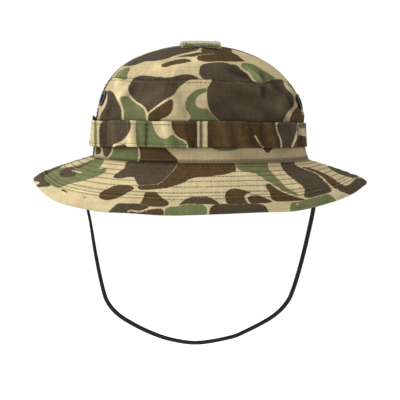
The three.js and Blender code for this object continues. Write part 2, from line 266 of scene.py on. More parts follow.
def window(value, rise_from, rise_to, fall_from, fall_to):
    """1 between two places, fading to 0 outside them."""
    return smooth_step(value, rise_from, rise_to) * (1 - smooth_step(value, fall_from, fall_to))


def bump(distance, width):
    """1 where the distance is 0, fading to 0 on both sides."""
    return np.exp(-(distance / width) ** 2)


def unit(vectors):
    return vectors / np.maximum(np.linalg.norm(vectors, axis=-1, keepdims=True), 1e-9)


def wrapped(angle, turn=FULL_TURN):
    """The same direction, given within half a turn of 0."""
    return np.mod(angle + turn / 2, turn) - turn / 2


def even_turns(count):
    """Angles spread evenly round a circle."""
    return np.arange(count) / count * FULL_TURN


def read_at(places, length, values):
    """Rows of three values, known at each length along a line, read at other places on it."""
    return np.stack([np.interp(places, length, values[:, axis]) for axis in range(3)], axis=1)


def tube(points, across, up, half_width, half_height, sides, relief=None):
    """Points of a tube with an oval section: across and up are unit vectors at each point."""
    turn = even_turns(sides)
    radius = 1 if relief is None else relief(cumulative(points)[:, None], turn[None, :])[..., None]
    ring = (np.cos(turn)[None, :, None] * across[:, None] * half_width
            + np.sin(turn)[None, :, None] * up[:, None] * half_height)
    return points[:, None] + ring * radius


def tube_faces(rings, sides, first=0):
    faces = []
    for ring in range(rings - 1):
        for side in range(sides):
            a = first + ring * sides + side
            b = first + ring * sides + (side + 1) % sides
            faces.append((a, b, b + sides, a + sides))
    faces.append(tuple(first + side for side in reversed(range(sides))))
    faces.append(tuple(first + (rings - 1) * sides + side for side in range(sides)))
    return faces


# ---- Chin cord: the route of the CAD cord, one pair of x and z a point, in the plane y = 0 ----
CORD_ROUTE = [
    (-CORD_EXIT_X, CORD_AXIS_HEIGHT), (-94.4, -4.8), (-97.8, -7.3), (-99.7, -11.5), (-100, -17),
    (-98.9, -27), (-96.6, -40), (-93.9, -53), (-89.8, -79), (-85.9, -99.3), (-82.4, -114.2),
    (-79.6, -121.4), (-74.2, -128.8), (-64.8, -136.6), (-45.8, -146.9), (-25.7, -154.2),
    (-2, -157.4), (25.7, -152.9), (39.4, -147.6), (58.5, -137.6), (69.2, -129.5), (75.9, -121.3),
    (79.6, -113.5), (84.4, -98.6), (89.6, -78.8), (95.4, -53), (97.8, -40), (99.4, -27),
    (100, -17), (99.7, -11.5), (97.8, -7.3), (94.4, -4.8), (CORD_EXIT_X, CORD_AXIS_HEIGHT),
]
CORD_STEP = 0.55
CORD_SIDES = 20
BRAID_PITCH = 3.2
BRAID_RELIEF = 0.09


def smooth_route(route, step):
    """A curve through every point of a route, cut into even steps."""
    points = np.array([(x, 0.0, z) for x, z in route])
    ends = np.concatenate([[2 * points[0] - points[1]], points, [2 * points[-1] - points[-2]]])
    share = np.linspace(0, 1, 24, endpoint=False)[:, None]
    fine = []
    for before, start, end, after in zip(ends, ends[1:], ends[2:], ends[3:]):
        fine.append(0.5 * (2 * start + (end - before) * share
                           + (2 * before - 5 * start + 4 * end - after) * share ** 2
                           + (3 * start - before - 3 * end + after) * share ** 3))
    fine = np.concatenate(fine + [points[-1:]])
    length = cumulative(fine)
    even = np.linspace(0, length[-1], int(length[-1] / step) + 1)
    return read_at(even, length, fine)


def braid(along, turn):
    """Two families of strands that cross on a flat braid."""
    lean = FULL_TURN * along / BRAID_PITCH
    over = np.cos(2.5 * turn * 2 + lean) * np.cos(2.5 * turn * 2 - lean)
    return 1 + BRAID_RELIEF * over


cord_path = smooth_route(CORD_ROUTE, CORD_STEP)
cord_length = cumulative(cord_path)[-1]
cord_along = frames_along(cord_path)
cord_share = cumulative(cord_path)[:, None] / cord_length
cord_twist = 1.45 * np.exp(-(cord_share / 0.2) ** 2) + 0.25 * np.sin(9 * cord_share)
cord_side = np.cross(cord_along, [0.0, 1.0, 0.0])
cord_across = np.cos(cord_twist) * cord_side + np.sin(cord_twist) * np.array([0.0, 1.0, 0.0])
cord_up = np.cross(cord_across, cord_along)
cord_points = tube(cord_path, cord_across, cord_up, CORD_WIDTH / 2, CORD_THICKNESS / 2, CORD_SIDES, braid)
cord_mesh = mesh_from("chin_cord_braid", cord_points.reshape(-1, 3),
                      tube_faces(len(cord_path), CORD_SIDES))
cord_layer = cord_mesh.attributes.new("braid", "FLOAT_VECTOR", "POINT")
cord_place = np.zeros((len(cord_path), CORD_SIDES, 3), dtype=np.float32)
cord_place[..., 0] = cumulative(cord_path)[:, None] / BRAID_PITCH
cord_place[..., 1] = np.arange(CORD_SIDES) / CORD_SIDES
cord_layer.data.foreach_set("vector", cord_place.ravel())
chin_cord = add_object("chin_cord_braid", cord_mesh, "chin_cord", ["chin_cord"])


# ---- Surfaces of the hat. Each takes arrays of angles and of places along the cloth, and an
# offset along the cloth's normal, and gives points in millimetres. ----
def oval_point(angle, half_width, half_length, height):
    return np.stack([half_width * np.sin(angle), -half_length * np.cos(angle), height], axis=-1)


def oval_normal(angle):
    across = WALL_HALF_LENGTH * np.sin(angle)
    along = -WALL_HALF_WIDTH * np.cos(angle)
    return np.stack([across, along], axis=-1) / np.hypot(across, along)[..., None]


def slump(x, height):
    """How much lower soft cloth lies towards the top of the crown, most at the wearer's left."""
    sag = CROWN_SLUMP * np.sin(math.pi * np.clip(x / 75, -1, 1)) ** 2
    return -np.clip((height - 20) / 48, 0, 1) * (CROWN_LIST * x / 68 + sag)


def folds(angle, height, creases):
    """Soft ridges and hollows of the crown, each between two (degrees, height) places."""
    push = 0.0
    for turn, low, far_turn, high, depth, width in creases:
        start = np.array([turn * DEGREE * MEAN_RADIUS, low])
        line = np.array([far_turn * DEGREE * MEAN_RADIUS, high]) - start
        away = np.stack([wrapped(angle) * MEAN_RADIUS, height], axis=-1) - start
        share = np.clip(away @ line / (line @ line), 0, 1)
        distance = np.linalg.norm(away - share[..., None] * line, axis=-1)
        push = push + depth * bump(distance, width)
    return push


def drape(angle, height):
    """Slow unevenness of soft cloth."""
    return (np.sin(3 * angle + 0.6) * np.sin(height / 17 + 1.1)
            + 0.7 * np.sin(5 * angle - 1.3 + height / 31)
            + 0.5 * np.sin(9 * angle + 2.2 - height / 13))


def tip_pucker(angle, distance):
    """Short creases that the tip seam draws in the cloth beside it, deep where cloth was eased in."""
    wave = np.sin(TIP_PUCKERS * angle + 1.7 * np.sin(7 * angle)) + 0.6 * np.sin(37 * angle + 1)
    eased = 1 + 2.2 * bump(wrapped(angle - EASED_AT), 0.07)
    return TIP_PUCKER * eased * wave * np.exp(-np.abs(distance) / TIP_PUCKER_REACH)


def wall(angle, height, offset=0.0):
    angle, height, offset = np.broadcast_arrays(angle, height, offset)
    share = np.maximum(height, 0) / WALL_HEIGHT
    curve = (1 - WALL_LEAN_SHARE) * share ** WALL_LEAN_POWER
    inset = WALL_INSET * (WALL_LEAN_SHARE * share + curve)
    lean = WALL_INSET / WALL_HEIGHT * (
        WALL_LEAN_SHARE + (1 - WALL_LEAN_SHARE) * WALL_LEAN_POWER * share ** (WALL_LEAN_POWER - 1))
    point = oval_point(angle, WALL_HALF_WIDTH - inset, WALL_HALF_LENGTH - inset, height)
    normal = unit(np.concatenate([oval_normal(angle), lean[..., None]], axis=-1))
    to_seam = WALL_HEIGHT - height
    push = offset + 0.4 * drape(angle, height) * bump(to_seam - 34, 24) + folds(angle, height, WALL_FOLDS)
    push = push - SEAM_SINK * bump(to_seam, SEAM_SINK_WIDTH) + 0.6 * tip_pucker(angle, to_seam)
    tight = window(height, 4, 13, 31, 40)
    push = push + FOOT_FLARE * bump(height, 4) - BAND_PRESS * bump(angle - math.pi / 2, 0.3) * tight
    point = point + normal * push[..., None]
    point[..., 2] += slump(point[..., 0], height)
    return point


def dome(share):
    """Height of the crown's dome, at a share of the way from its middle to its seam."""
    fall = TIP_SHARE * share ** TIP_SOFT_POWER + (1 - TIP_SHARE) * share ** TIP_TIGHT_POWER
    return WALL_HEIGHT + TIP_RISE * (1 - fall)


def tip(angle, share, offset=0.0):
    angle, share, offset = np.broadcast_arrays(angle, share, offset)
    slope = TIP_RISE * (TIP_SHARE * TIP_SOFT_POWER * share ** (TIP_SOFT_POWER - 1)
                        + (1 - TIP_SHARE) * TIP_TIGHT_POWER * share ** (TIP_TIGHT_POWER - 1))
    point = oval_point(angle, share * TIP_HALF_WIDTH, share * TIP_HALF_LENGTH, dome(share))
    normal = unit(np.stack([slope * np.sin(angle) / TIP_HALF_WIDTH,
                            -slope * np.cos(angle) / TIP_HALF_LENGTH, np.ones_like(slope)], axis=-1))
    to_seam = (1 - share) * TIP_HALF_LENGTH
    x, y = point[..., 0], point[..., 1]
    soft = np.sin(x / 19 + 0.4) * np.sin(y / 23 + 1.2) + 0.6 * np.sin((x + y) / 13) * np.sin((x - y) / 17)
    push = offset + 0.5 * soft * np.clip(share * 2, 0, 1)
    push = push - SEAM_SINK * bump(to_seam, SEAM_SINK_WIDTH) + tip_pucker(angle, to_seam)
    push = push + folds(angle, WALL_HEIGHT + to_seam, WALL_FOLDS)
    point = point + normal * push[..., None]
    point[..., 2] += slump(point[..., 0], WALL_HEIGHT)
    return point


def quilt(angle, reach):
    """Height of the quilted cloth between the brim's rows of stitches."""
    phase = (reach - BRIM_ROW_FIRST) / BRIM_ROW_PITCH
    swell = np.abs(np.sin(math.pi * phase)) ** 0.8
    crease = np.sin(angle * 92 + 2.4 * np.floor(phase)) + 0.7 * np.sin(angle * 137 + 1.3 * np.floor(phase))
    inside = np.clip((BRIM_WIDTH - BINDING_WIDTH + 1 - reach) / 2, 0, 1) * np.clip(reach / 2, 0, 1)
    return inside * (BRIM_QUILT * (swell - 0.75) + BRIM_PUCKER * swell * crease)


def brim(angle, reach, offset=0.0, face=1.0):
    """face is 1 on the upper side, -1 on the under side and 0 for a smooth surface between."""
    angle, reach, offset = np.broadcast_arrays(angle, reach, offset)
    from_middle = np.arcsin(np.abs(np.sin(angle + BRIM_DROOP_TURN * DEGREE))) / DEGREE
    saddle = 1 - smooth_step(from_middle, BRIM_DROOP_FROM, BRIM_DROOP_TO)
    drop = BRIM_SIDE_DROP + (BRIM_FRONT_DROP - BRIM_SIDE_DROP) * saddle
    level = np.sqrt(BRIM_WIDTH ** 2 - drop ** 2)
    u = reach / BRIM_WIDTH
    fall = BRIM_STRAIGHT_SHARE * u + (1 - BRIM_STRAIGHT_SHARE) * u ** BRIM_EDGE_POWER
    slope = BRIM_STRAIGHT_SHARE + (
        1 - BRIM_STRAIGHT_SHARE) * BRIM_EDGE_POWER * np.maximum(u, 0) ** (BRIM_EDGE_POWER - 1)
    tilt = unit(np.stack([drop * slope, level], axis=-1))
    lift = offset + face * quilt(angle, reach)
    seat = np.clip(u / BRIM_SEAT_SHARE, 0, 1)
    out = 2 * SEAM_GAP + level * u + seat * tilt[..., 0] * lift
    wave = BRIM_WAVE * (np.sin(9 * angle + 0.9) + 0.6 * np.sin(14 * angle + 2.1)) * u ** 2
    for middle, rise, width in BRIM_DIPS:
        away = wrapped(angle / DEGREE - middle, 360)
        wave = wave + rise * bump(away, width) * u ** 1.6
    height = BRIM_SEAT_HEIGHT - drop * fall + tilt[..., 1] * lift + wave - BRIM_LIST * np.sin(angle) ** 3
    point = oval_point(angle, WALL_HALF_WIDTH, WALL_HALF_LENGTH, height)
    point[..., :2] += oval_normal(angle) * out[..., None]
    return point


def band_stand_off(angle):
    """How far the foliage band stands off the wall: loops between tacks, pinched at each tack."""
    turn = np.mod(angle / FULL_TURN * BAND_TACKS, BAND_TACKS)
    loop = np.floor(turn)
    puff = np.where(loop == BAND_OPEN_LOOP, BAND_OPEN_PUFF, BAND_PUFF * (1 + 0.25 * np.sin(2.1 * loop)))
    puff = np.where(loop == BAND_FLAT_LOOP, 0.5, np.where(loop == BAND_FLAT_LOOP + 1, 1.2, puff))
    return puff * np.maximum(np.sin(math.pi * (turn - loop)), 0) ** BAND_PUFF_POWER


def band_lift(angle):
    """How much higher than level the band lies."""
    loose = bump(wrapped(angle - BAND_LIFT_AT), 0.2)
    front = np.maximum(np.cos(angle), 0) ** 1.5
    return BAND_LIFT * loose + BAND_FRONT_RISE * front - BAND_LIST * np.sin(angle)


def band_folds(angle, height):
    push = 0.0
    for middle, depth, width in BAND_FOLDS:
        away = wrapped(angle / DEGREE - middle + 0.12 * (height - 22), 360)
        push = push + depth * bump(away, width)
    return push


def band(angle, height, offset=0.0):
    angle, height, offset = np.broadcast_arrays(angle, height, offset)
    side = height - 0.5 * (BAND_LOW + BAND_HIGH)
    flare = 0.35 * np.sin(6 * angle + 0.4) * side / 11
    stand = SEAM_GAP + band_stand_off(angle) * (1 + 0.12 * np.sin(5 * angle) * side / 11)
    rise = (height - BAND_LOW) / (BAND_HIGH - BAND_LOW)
    stand = stand + 1.3 * band_folds(angle, height)
    gape = bump(wrapped(angle - BAND_GAPE_AT), 0.17) * np.clip(rise, 0, 1)
    stand = stand + np.maximum(flare, 0) + BAND_GAPE * 0.5 * gape
    point = wall(angle, height + 0.25 * np.sin(7 * angle), stand + offset)
    point[..., 2] += band_lift(angle) + BAND_GAPE * gape
    return point


# ---- Camouflage print. Each outline is a closed row of points in millimetres. On the front it is
# laid out as the front elevation shows it: x to the wearer's left and z up. ----
TAN, GREEN, BROWN, DARK, VEIN, FINE = "tan", "green", "brown", "dark", "vein", "fine"
INKS = (GREEN, BROWN, DARK)
VEIN_WIDTHS = {VEIN: 1.3, FINE: 0.4}

CROWN_FRONT = [
    (DARK, [(-60, 80.5), (-55, 81.5), (-50, 83.5), (-46, 84.7), (-40, 84.7), (-35, 85.2), (-30, 86.3),
            (-25, 88), (-20, 90), (-10, 92), (-3, 93.6), (0, 95.5), (2, 101), (-60, 101), (-86, 74),
            (-77.5, 69.5), (-74.6, 73), (-71, 76.6), (-67, 79.6), (-63, 80.6)]),
    (BROWN, [(-20.7, 87.8), (-17, 89.3), (-12, 90.3), (-7, 91), (-3, 92), (2, 92.5), (2, 90), (0, 89.5),
             (-5, 88.5), (-10, 88.5), (-15, 88.3)]),
    (BROWN, [(-3, 87.5), (-2, 85.5), (2, 84.5), (7, 84), (15, 84.5), (24, 84.3), (30, 84.3), (39, 84.4),
             (36, 86.5), (33.5, 88.5), (32, 90), (28, 91.5), (27, 93.5), (26.5, 95.3), (26, 101),
             (0, 101), (0, 94), (2, 92.8), (0, 91)]),
    (VEIN, [(-20.5, 89), (-12, 91), (-3, 92.8), (1, 95.3), (3, 98)]),
    (FINE, [(-3, 89.4), (5, 90.5), (12, 91.3)]),
    (BROWN, [(-34, 80.5), (-32, 82.5), (-28, 84), (-22, 85.5), (-17, 86.5), (-13, 87), (-9, 86.2),
             (-6.5, 84.5), (-10, 83.6), (-15, 82.8), (-20, 82), (-25, 81), (-28, 79.8), (-31, 79.3)]),
    (GREEN, [(-59.5, 79.5), (-60, 77), (-61.5, 75), (-62, 72), (-62, 68.7), (-66, 69), (-70, 70),
             (-73.3, 70.6), (-71, 74.3), (-67.5, 77.4), (-63, 79.4)]),
    (DARK, [(-57, 70), (-53, 72.2), (-48, 72.7), (-42, 72), (-36, 71.5), (-30, 70.8), (-25, 71),
            (-20, 72.3), (-14, 73.7), (-8, 73.4), (-3, 71.5), (1, 69.5), (-5, 69.2), (-10, 68.7),
            (-14, 65.5), (-17, 63.5), (-19.5, 60.5), (-21, 57.5), (-24, 55), (-28, 53), (-32, 50.5),
            (-36, 47.5), (-40, 44.5), (-43, 42), (-44.5, 40.7), (-46, 43.5), (-47, 45.5), (-50, 48),
            (-54, 50), (-57, 53), (-60, 56.5), (-61.5, 60), (-61, 63), (-59.5, 66)]),
    (GREEN, [(-68.5, 54), (-66.5, 55), (-61, 54.8), (-58.5, 51.8), (-55, 49), (-50.5, 46.5), (-48, 44),
             (-46.3, 40), (-46, 36), (-46, 26), (-64.5, 26), (-65.2, 36), (-65, 42), (-66.3, 47),
             (-68, 51)]),
    (DARK, [(-79.5, 59.8), (-76, 59.5), (-73.3, 57), (-71.5, 53), (-69.5, 49), (-67.6, 45), (-67, 40),
            (-67, 35), (-66, 26), (-86.5, 26), (-86, 37), (-84, 41.5), (-81.5, 45), (-79.5, 50),
            (-79, 55)]),
    (BROWN, [(-44.5, 37.5), (-44.5, 35), (-43, 33.3), (-38, 33), (-34, 34), (-34, 35.3), (-30, 36.5),
             (-26, 39), (-23.8, 42), (-23, 46), (-23, 50), (-23.3, 52), (-25, 52.2), (-28, 51),
             (-32, 48.5), (-37, 45), (-41, 42), (-43.7, 40)]),
    (GREEN, [(6, 62), (1, 61.3), (-4, 60), (-8, 57), (-11.3, 53.3), (-12.8, 48), (-12, 43),
             (-9.5, 40.5), (-8, 38.7), (-8.3, 36.3), (-10, 34.7), (-10, 26), (17, 26), (16.5, 33.5),
             (12, 37.5), (8.5, 41.5), (6.5, 44.5), (2.5, 44), (-1.5, 45), (-4, 48), (-4, 51.5),
             (-2, 55), (2, 57.3), (6, 58.6)]),
    (DARK, [(-0.7, 77), (0.3, 81), (4, 82.6), (10, 83.6), (18, 83.8), (23, 83.2), (25, 82.1), (30, 82),
            (33, 80), (35, 77.5), (39, 75), (42, 71.5), (45, 68), (47.5, 66.7), (52, 66), (57, 67.3),
            (61, 69.2), (66, 69.8), (71, 69), (72, 64), (75, 60), (79, 57), (80.3, 52), (80.3, 47),
            (77, 43.5), (74, 40), (72, 36), (70.5, 32), (70, 25), (20, 25), (18, 33), (13, 37),
            (9.5, 41), (7.2, 46), (6, 52), (5.8, 60), (7, 63.3), (9.5, 67), (11, 69.4), (7, 69.2),
            (3.3, 69.2), (1, 71.3), (-0.8, 74)]),
    (GREEN, [(35, 82.5), (37, 83.3), (41, 83), (46, 82), (50, 79.5), (55, 76.5), (60, 73), (65, 70.3),
             (63, 69.5), (60, 69), (57, 67.3), (53, 66), (49, 66.5), (47, 68.5), (45, 71), (43, 74.5),
             (40, 76.5), (37, 78.3), (35, 80)]),
    (DARK, [(76, 68), (78, 64), (81, 59), (84, 55), (90, 52), (90, 66), (80, 72)]),
    (BROWN, [(83, 50), (86, 48), (92, 46), (92, 26), (75.5, 26), (77, 37), (79, 41), (82, 44.5),
             (83.5, 47)]),
    (VEIN, [(72.5, 70), (74, 65), (77, 60.5), (80.2, 56.5), (81.8, 52), (82, 47), (79.5, 44.5),
            (76.5, 41), (74.3, 37), (72.8, 33), (72, 26)]),
    (BROWN, [(-89, 4.5), (-91, 8), (-89, 12), (-86, 12.5), (-84.5, 9), (-85, 6)]),
    (DARK, [(-83.5, 13), (-79, 14), (-75.5, 12), (-75.5, 8), (-77.5, 5), (-79.5, 2.5), (-82, 3.5),
            (-83, 6)]),
    (GREEN, [(-74, 14), (-74.5, 7), (-77, 3.5), (-79, 1.5), (-78, -4), (-68, -5), (-56, -6), (-54, -1),
             (-52.8, 3), (-52.5, 6), (-54.3, 14)]),
    (GREEN, [(9, 13), (35, 13), (32, 9.2), (26, 8), (18, 7.9), (12, 9.4)]),
    (DARK, [(52, 13), (65, 13), (60.5, 8.3), (58, 5.8), (55.5, 8)]),
    (BROWN, [(-53, 14), (-51, 6), (-51.5, 1), (-54, -6), (-18.8, -6), (-18.8, -0.5), (-20, 2),
             (-23.5, 5), (-27, 8), (-32, 14)]),
]

BAND_FRONT = [
    (GREEN, [(-90.6, 36), (-88.2, 36), (-88.2, 8), (-90.6, 8)]),
    (DARK, [(-86.3, 36), (-60.5, 36), (-59, 31), (-59.2, 27), (-61, 23), (-64, 19.2), (-67.5, 16.2),
            (-71, 14.8), (-73, 14.5), (-75, 12.5), (-76, 8), (-86.3, 8)]),
    (BROWN, [(-74, 9), (-72, 12.8), (-69, 13), (-66, 14), (-64, 13.7), (-60.5, 9)]),
    (GREEN, [(-55.3, 36), (-55, 20), (-54.5, 15), (-53, 8), (-12, 8), (-11.5, 12), (-12.5, 15),
             (-14.5, 16.8), (-17.5, 18), (-20, 20), (-22, 22), (-24, 22), (-26, 20.5), (-28.5, 19),
             (-31, 18.6), (-34, 19.5), (-36.5, 22), (-38.5, 25.5), (-39.8, 29), (-41, 32),
             (-42.5, 36)]),
    (BROWN, [(-24.5, 36), (-24.3, 29), (-23, 25.5), (-20.5, 21.5), (-18, 19.5), (-15, 18),
             (-12.5, 17), (-10.5, 14), (-9.5, 8), (-9, -8), (-2.3, -8), (-2.3, 52), (-24.5, 52)]),
    (VEIN, [(-25.3, 30), (-24, 25), (-21.3, 21), (-18.5, 19), (-15, 17.6), (-12.8, 16.5),
            (-11, 13.5), (-10.2, 9)]),
    (BROWN, [(6.3, 52), (65, 52), (64.5, 31), (65, 28), (66, 23), (69, 17), (69, -8), (6.3, -8)]),
    (VEIN, [(47, 21), (48.6, 18.6), (51.2, 14.5), (54.4, 10.5), (56, 8)]),
    (DARK, [(66, 44), (65.5, 30), (67, 23), (70, 17.5), (70.5, 8), (71, 0), (75, 0), (76.8, 8),
            (78.4, 13), (80.8, 19), (82.8, 26), (83.2, 44)]),
    (VEIN, [(67.8, 34), (65.2, 31), (65.2, 28), (66.8, 23), (69.2, 17.5), (69.8, 13), (69, 8)]),
    (GREEN, [(84.5, 34), (84.5, 29), (86, 27), (89, 27.5), (96, 28), (96, 34)]),
    (BROWN, [(84.6, 22), (88, 21), (96, 20), (96, 0), (76, 0), (78.6, 9), (81, 14), (83, 19)]),
]

BRIM_FRONT = [
    (GREEN, [(-88, 5), (-84, 3.5), (-82, 0), (-84, -4), (-87, -7), (-85, -7), (-81, -6.2),
             (-79.7, -8), (-81, -10), (-85, -12.5), (-90, -14.5), (-97, -16.5), (-105, -18.7),
             (-112, -20), (-118, -22.5), (-121, -24), (-124, -23), (-127, -21.5), (-131, -19),
             (-134, -16), (-134, -13.5), (-130, -8), (-125, -5), (-118, -3), (-110, -1),
             (-103, 1.5), (-98, 3.5), (-93, 5)]),
    (DARK, [(-121.5, -12), (-119, -8.5), (-115, -6.2), (-108, -5.3), (-105, -10.5), (-106, -12.5),
            (-109, -14), (-114, -14.8), (-119, -15)]),
    (VEIN, [(-109.5, -8.8), (-106, -9.7), (-102, -10.5)]),
    (DARK, [(-148, -16), (-141, -10), (-136, -7), (-128, -3), (-119, 1), (-107, 4), (-106, 0),
            (-108, -1.8), (-113, -3.4), (-118, -5.8), (-123, -8), (-127.5, -9.9), (-131, -12.2),
            (-133.5, -13.9), (-132.8, -16.3), (-131, -18), (-126.7, -21.2), (-131, -22.8),
            (-136, -22.6), (-142, -24), (-148, -20)]),
    (TAN, [(-121, -6), (-112, -2.6), (-102, 0.6), (-94, 2.8), (-87, 5), (-86, 3.4), (-93, 0.2),
           (-101.6, -3), (-108.7, -4.8), (-115.8, -6.2)]),
    (BROWN, [(-110, -6.2), (-104, -5), (-98, -2.8), (-93, -0.4), (-92, -1.6), (-98, -4.6), (-104, -7.4)]),
    (TAN, [(-139, -20.8), (-137, -19), (-139.5, -18), (-148, -17.4), (-148, -21.5)]),
    (BROWN, [(-120, -24.8), (-116, -25), (-112.5, -28.3), (-118, -26.3)]),
    (BROWN, [(-101, -31.2), (-98, -31.2), (-96, -32.8), (-99, -32.6)]),
    (DARK, [(-64, 0), (-64, -5.5), (-66, -7.5), (-70, -10), (-74, -13), (-74.5, -14.7),
            (-72, -15.5), (-67, -15.6), (-63, -14.6), (-59, -14.2), (-56.5, -14.5), (-55, -17.5),
            (-53.5, -20.8), (-50, -22.5), (-42, -23), (-36, -23), (-31, -19.5), (-27, -14.5),
            (-23, -10.5), (-19.5, -6.5), (-16, 0)]),
    (BROWN, [(-18, 0), (-21.3, -6.8), (-25.3, -11.3), (-29.3, -15.3), (-33.3, -18.8), (-39, -20.9),
             (-52, -21.3), (-54, -23), (-52, -25.3), (-45, -25.3), (-38, -24.8), (-30, -24), (-24, -22.5),
             (-18, -20.5), (-13, -19), (-10, -16.5), (-6, -15), (0, -14.3), (8, -13.8), (15, -13),
             (22, -12), (27, -10.5), (30.5, -9.5), (31, -7), (30, 0)]),
    (FINE, [(-18.5, -1), (-21, -6.5), (-25, -11), (-29, -15), (-33, -18.8), (-38, -21)]),
    (BROWN, [(-87, -30), (-85.5, -27.5), (-80, -24.5), (-74, -21.8), (-67, -20.8), (-60, -21.5),
             (-56, -23.5), (-57, -25), (-61, -27), (-66, -30), (-71, -32.5), (-77, -34), (-83, -34),
             (-86, -32.5)]),
    (BROWN, [(-47, -27), (-43, -27.3), (-39, -26.8), (-37, -27.5), (-34.5, -30.5), (-31, -33),
             (-27.5, -35), (-26.3, -37), (-27.5, -39), (-33, -40), (-45, -39.5), (-52.5, -37),
             (-50, -35), (-48.5, -32), (-47.5, -28.5)]),
    (DARK, [(-52, -37), (-60, -37), (-71, -36.5), (-72.5, -38.5), (-76, -41.5), (-80, -46),
            (-80, -52), (-46, -52), (-45, -41.5), (-43.5, -39.3), (-48, -37.6)]),
    (BROWN, [(-46, -42), (-40, -41), (-31, -41), (-31, -52), (-46, -52)]),
    (VEIN, [(-62, -44), (-59, -42.8), (-55, -44), (-50, -43.8), (-46, -42), (-40, -41),
            (-31, -40.5)]),
    (GREEN, [(-30.5, -41.5), (-27, -40), (-20, -39.5), (-14, -38), (-8, -37.5), (6, -37.8),
             (6, -52), (-30.5, -52)]),
    (DARK, [(8.5, -37.5), (30, -37.2), (52, -37), (55, -38.5), (58, -41), (59, -46), (59, -52),
            (7.5, -52)]),
    (VEIN, [(8.5, -37), (7, -41), (6.3, -50)]),
    (DARK, [(-19.5, -39), (-16, -36), (-12, -33), (-8, -31.2), (-4, -31), (0, -31.3), (4, -30.7),
            (8, -31.5), (12, -33.5), (15, -35.5), (18, -38), (10, -37.7), (0, -37.7), (-8, -37.3),
            (-14, -37.8)]),
    (BROWN, [(23, -37.5), (21.8, -34), (21.3, -30), (22, -27), (24.5, -25), (28, -24.2),
             (32, -24.2), (37, -25.2), (41, -26.5), (44, -27.5), (43, -28.3), (40, -28.5),
             (38.3, -30), (38.2, -32.5), (39.5, -35), (42, -37), (35, -37.6), (28, -37.8)]),
    (BROWN, [(41, -33.5), (41, -31.5), (43, -30.3), (47, -29.7), (51, -30), (55, -31.8),
             (59, -33.5), (62.5, -35.5), (60, -36.5), (52, -36.8), (46, -37.3), (43, -36.5)]),
    (GREEN, [(30.5, 1), (31.5, -6), (33.5, -8.3), (38, -9.5), (44, -10.5), (49, -12), (53, -14.5),
             (57, -17.5), (61, -19.5), (65, -22), (69, -25), (74, -27.3), (79, -29), (83, -30.5),
             (84.5, -30.3), (83.5, -28.7), (80, -26.5), (76, -24.5), (72, -21.5), (69, -18),
             (65.5, -14.5), (62, -11), (59.5, -8), (58.3, -5), (58, 1)]),
    (BROWN, [(57, -19.8), (60, -20), (62, -21.5), (66, -24.5), (70, -27), (75, -28.8), (81, -31),
             (87, -32.5), (93, -34.3), (88, -34.5), (80, -35), (72, -35.3), (65, -35.3),
             (62, -34), (60.5, -31.5), (60, -28), (58.5, -25.5), (56.5, -23.5), (56, -21.5)]),
    (FINE, [(58, -18.7), (63, -21.4), (68, -25.3), (75, -28.4), (83, -31.2), (90, -33)]),
    (DARK, [(68.3, 1), (69.5, -5.5), (72, -9), (75.5, -12.5), (80, -16), (84, -19), (88, -22),
            (89.8, -25), (89.8, -28.5), (89, -31), (92, -32.5), (98, -31.5), (105, -29.5),
            (110, -28), (113, -26.5), (112.7, -24.5), (110.5, -21.5), (107, -18), (104, -15),
            (100, -11.5), (95, -9.5), (90, -7.5), (84, -5.5), (81, -3), (80, 1)]),
    (BROWN, [(86, -5.2), (93, -6), (100, -8.3), (107, -11.3), (113, -14.8), (118, -17.5),
             (118, -25.8), (114.5, -23), (110, -19.5), (105, -14.7), (100, -10.7), (95, -9),
             (90, -7)]),
    (DARK, [(117, -17), (122, -21), (125, -21.8), (128, -20.8), (131, -18), (134, -15),
            (140, -15), (148, -18), (148, -24), (136, -27.5), (130, -30), (124, -27.8),
            (118, -25.8)]),
    (FINE, [(88, -6.8), (95, -9.2), (101, -11.8), (107, -16), (112, -21.5), (115, -24.2)]),
    (DARK, [(109, -5), (113, -4), (120, -6), (128, -9), (137, -14.5), (132, -15.2), (126, -13.8),
            (120, -12), (115, -9.5), (111, -7)]),
    (GREEN, [(77, -36), (85, -35.5), (90, -34), (97, -32), (103, -30.5), (110, -28.5),
             (114, -31), (118, -36), (116, -42), (78, -50)]),
    (TAN, [(82, -36.7), (84, -36.5), (84.5, -38.5), (82.5, -38.6)]),
]

# The back, the sides and the under side: round-lobed blobs on a jittered grid.
BLOB_STEP = 36
BLOB_SIZE = (12, 25)
BLOB_INKS = (DARK, BROWN, GREEN, DARK, BROWN, GREEN, TAN)
BLOB_GAP = 1.1
FIELD_REACH = 6.0
FACING = (0.1, 0.22)  # how squarely cloth must face the front for the front's outlines to fade in
TIP_PLAN, BAND_PLAN, BRIM_PLAN, BINDING_PLAN = 400, 900, 900, 1500  # where each lies on the flat cloth


def blobs(seed, low, high):
    """Lobed outlines over a rectangle of cloth."""
    chance = random.Random(seed)
    shapes = []
    for across in np.arange(low[0], high[0] + BLOB_STEP, BLOB_STEP):
        for up in np.arange(low[1], high[1] + BLOB_STEP, BLOB_STEP):
            x = across + chance.uniform(-0.4, 0.4) * BLOB_STEP
            y = up + chance.uniform(-0.4, 0.4) * BLOB_STEP
            size = chance.uniform(*BLOB_SIZE)
            lobes = [(2, chance.uniform(0.2, 0.42)), (3, chance.uniform(0.1, 0.26)), (5, 0.08)]
            phases = [chance.uniform(0, FULL_TURN) for _ in lobes]
            outline = []
            for step in range(26):
                turn = step / 26 * FULL_TURN
                radius = size * (1 + sum(amount * math.cos(count * turn + phase)
                                         for (count, amount), phase in zip(lobes, phases)))
                outline.append((x + radius * math.cos(turn), y + radius * math.sin(turn)))
            shapes.append((chance.choice(BLOB_INKS), outline))
    chance.shuffle(shapes)
    return shapes


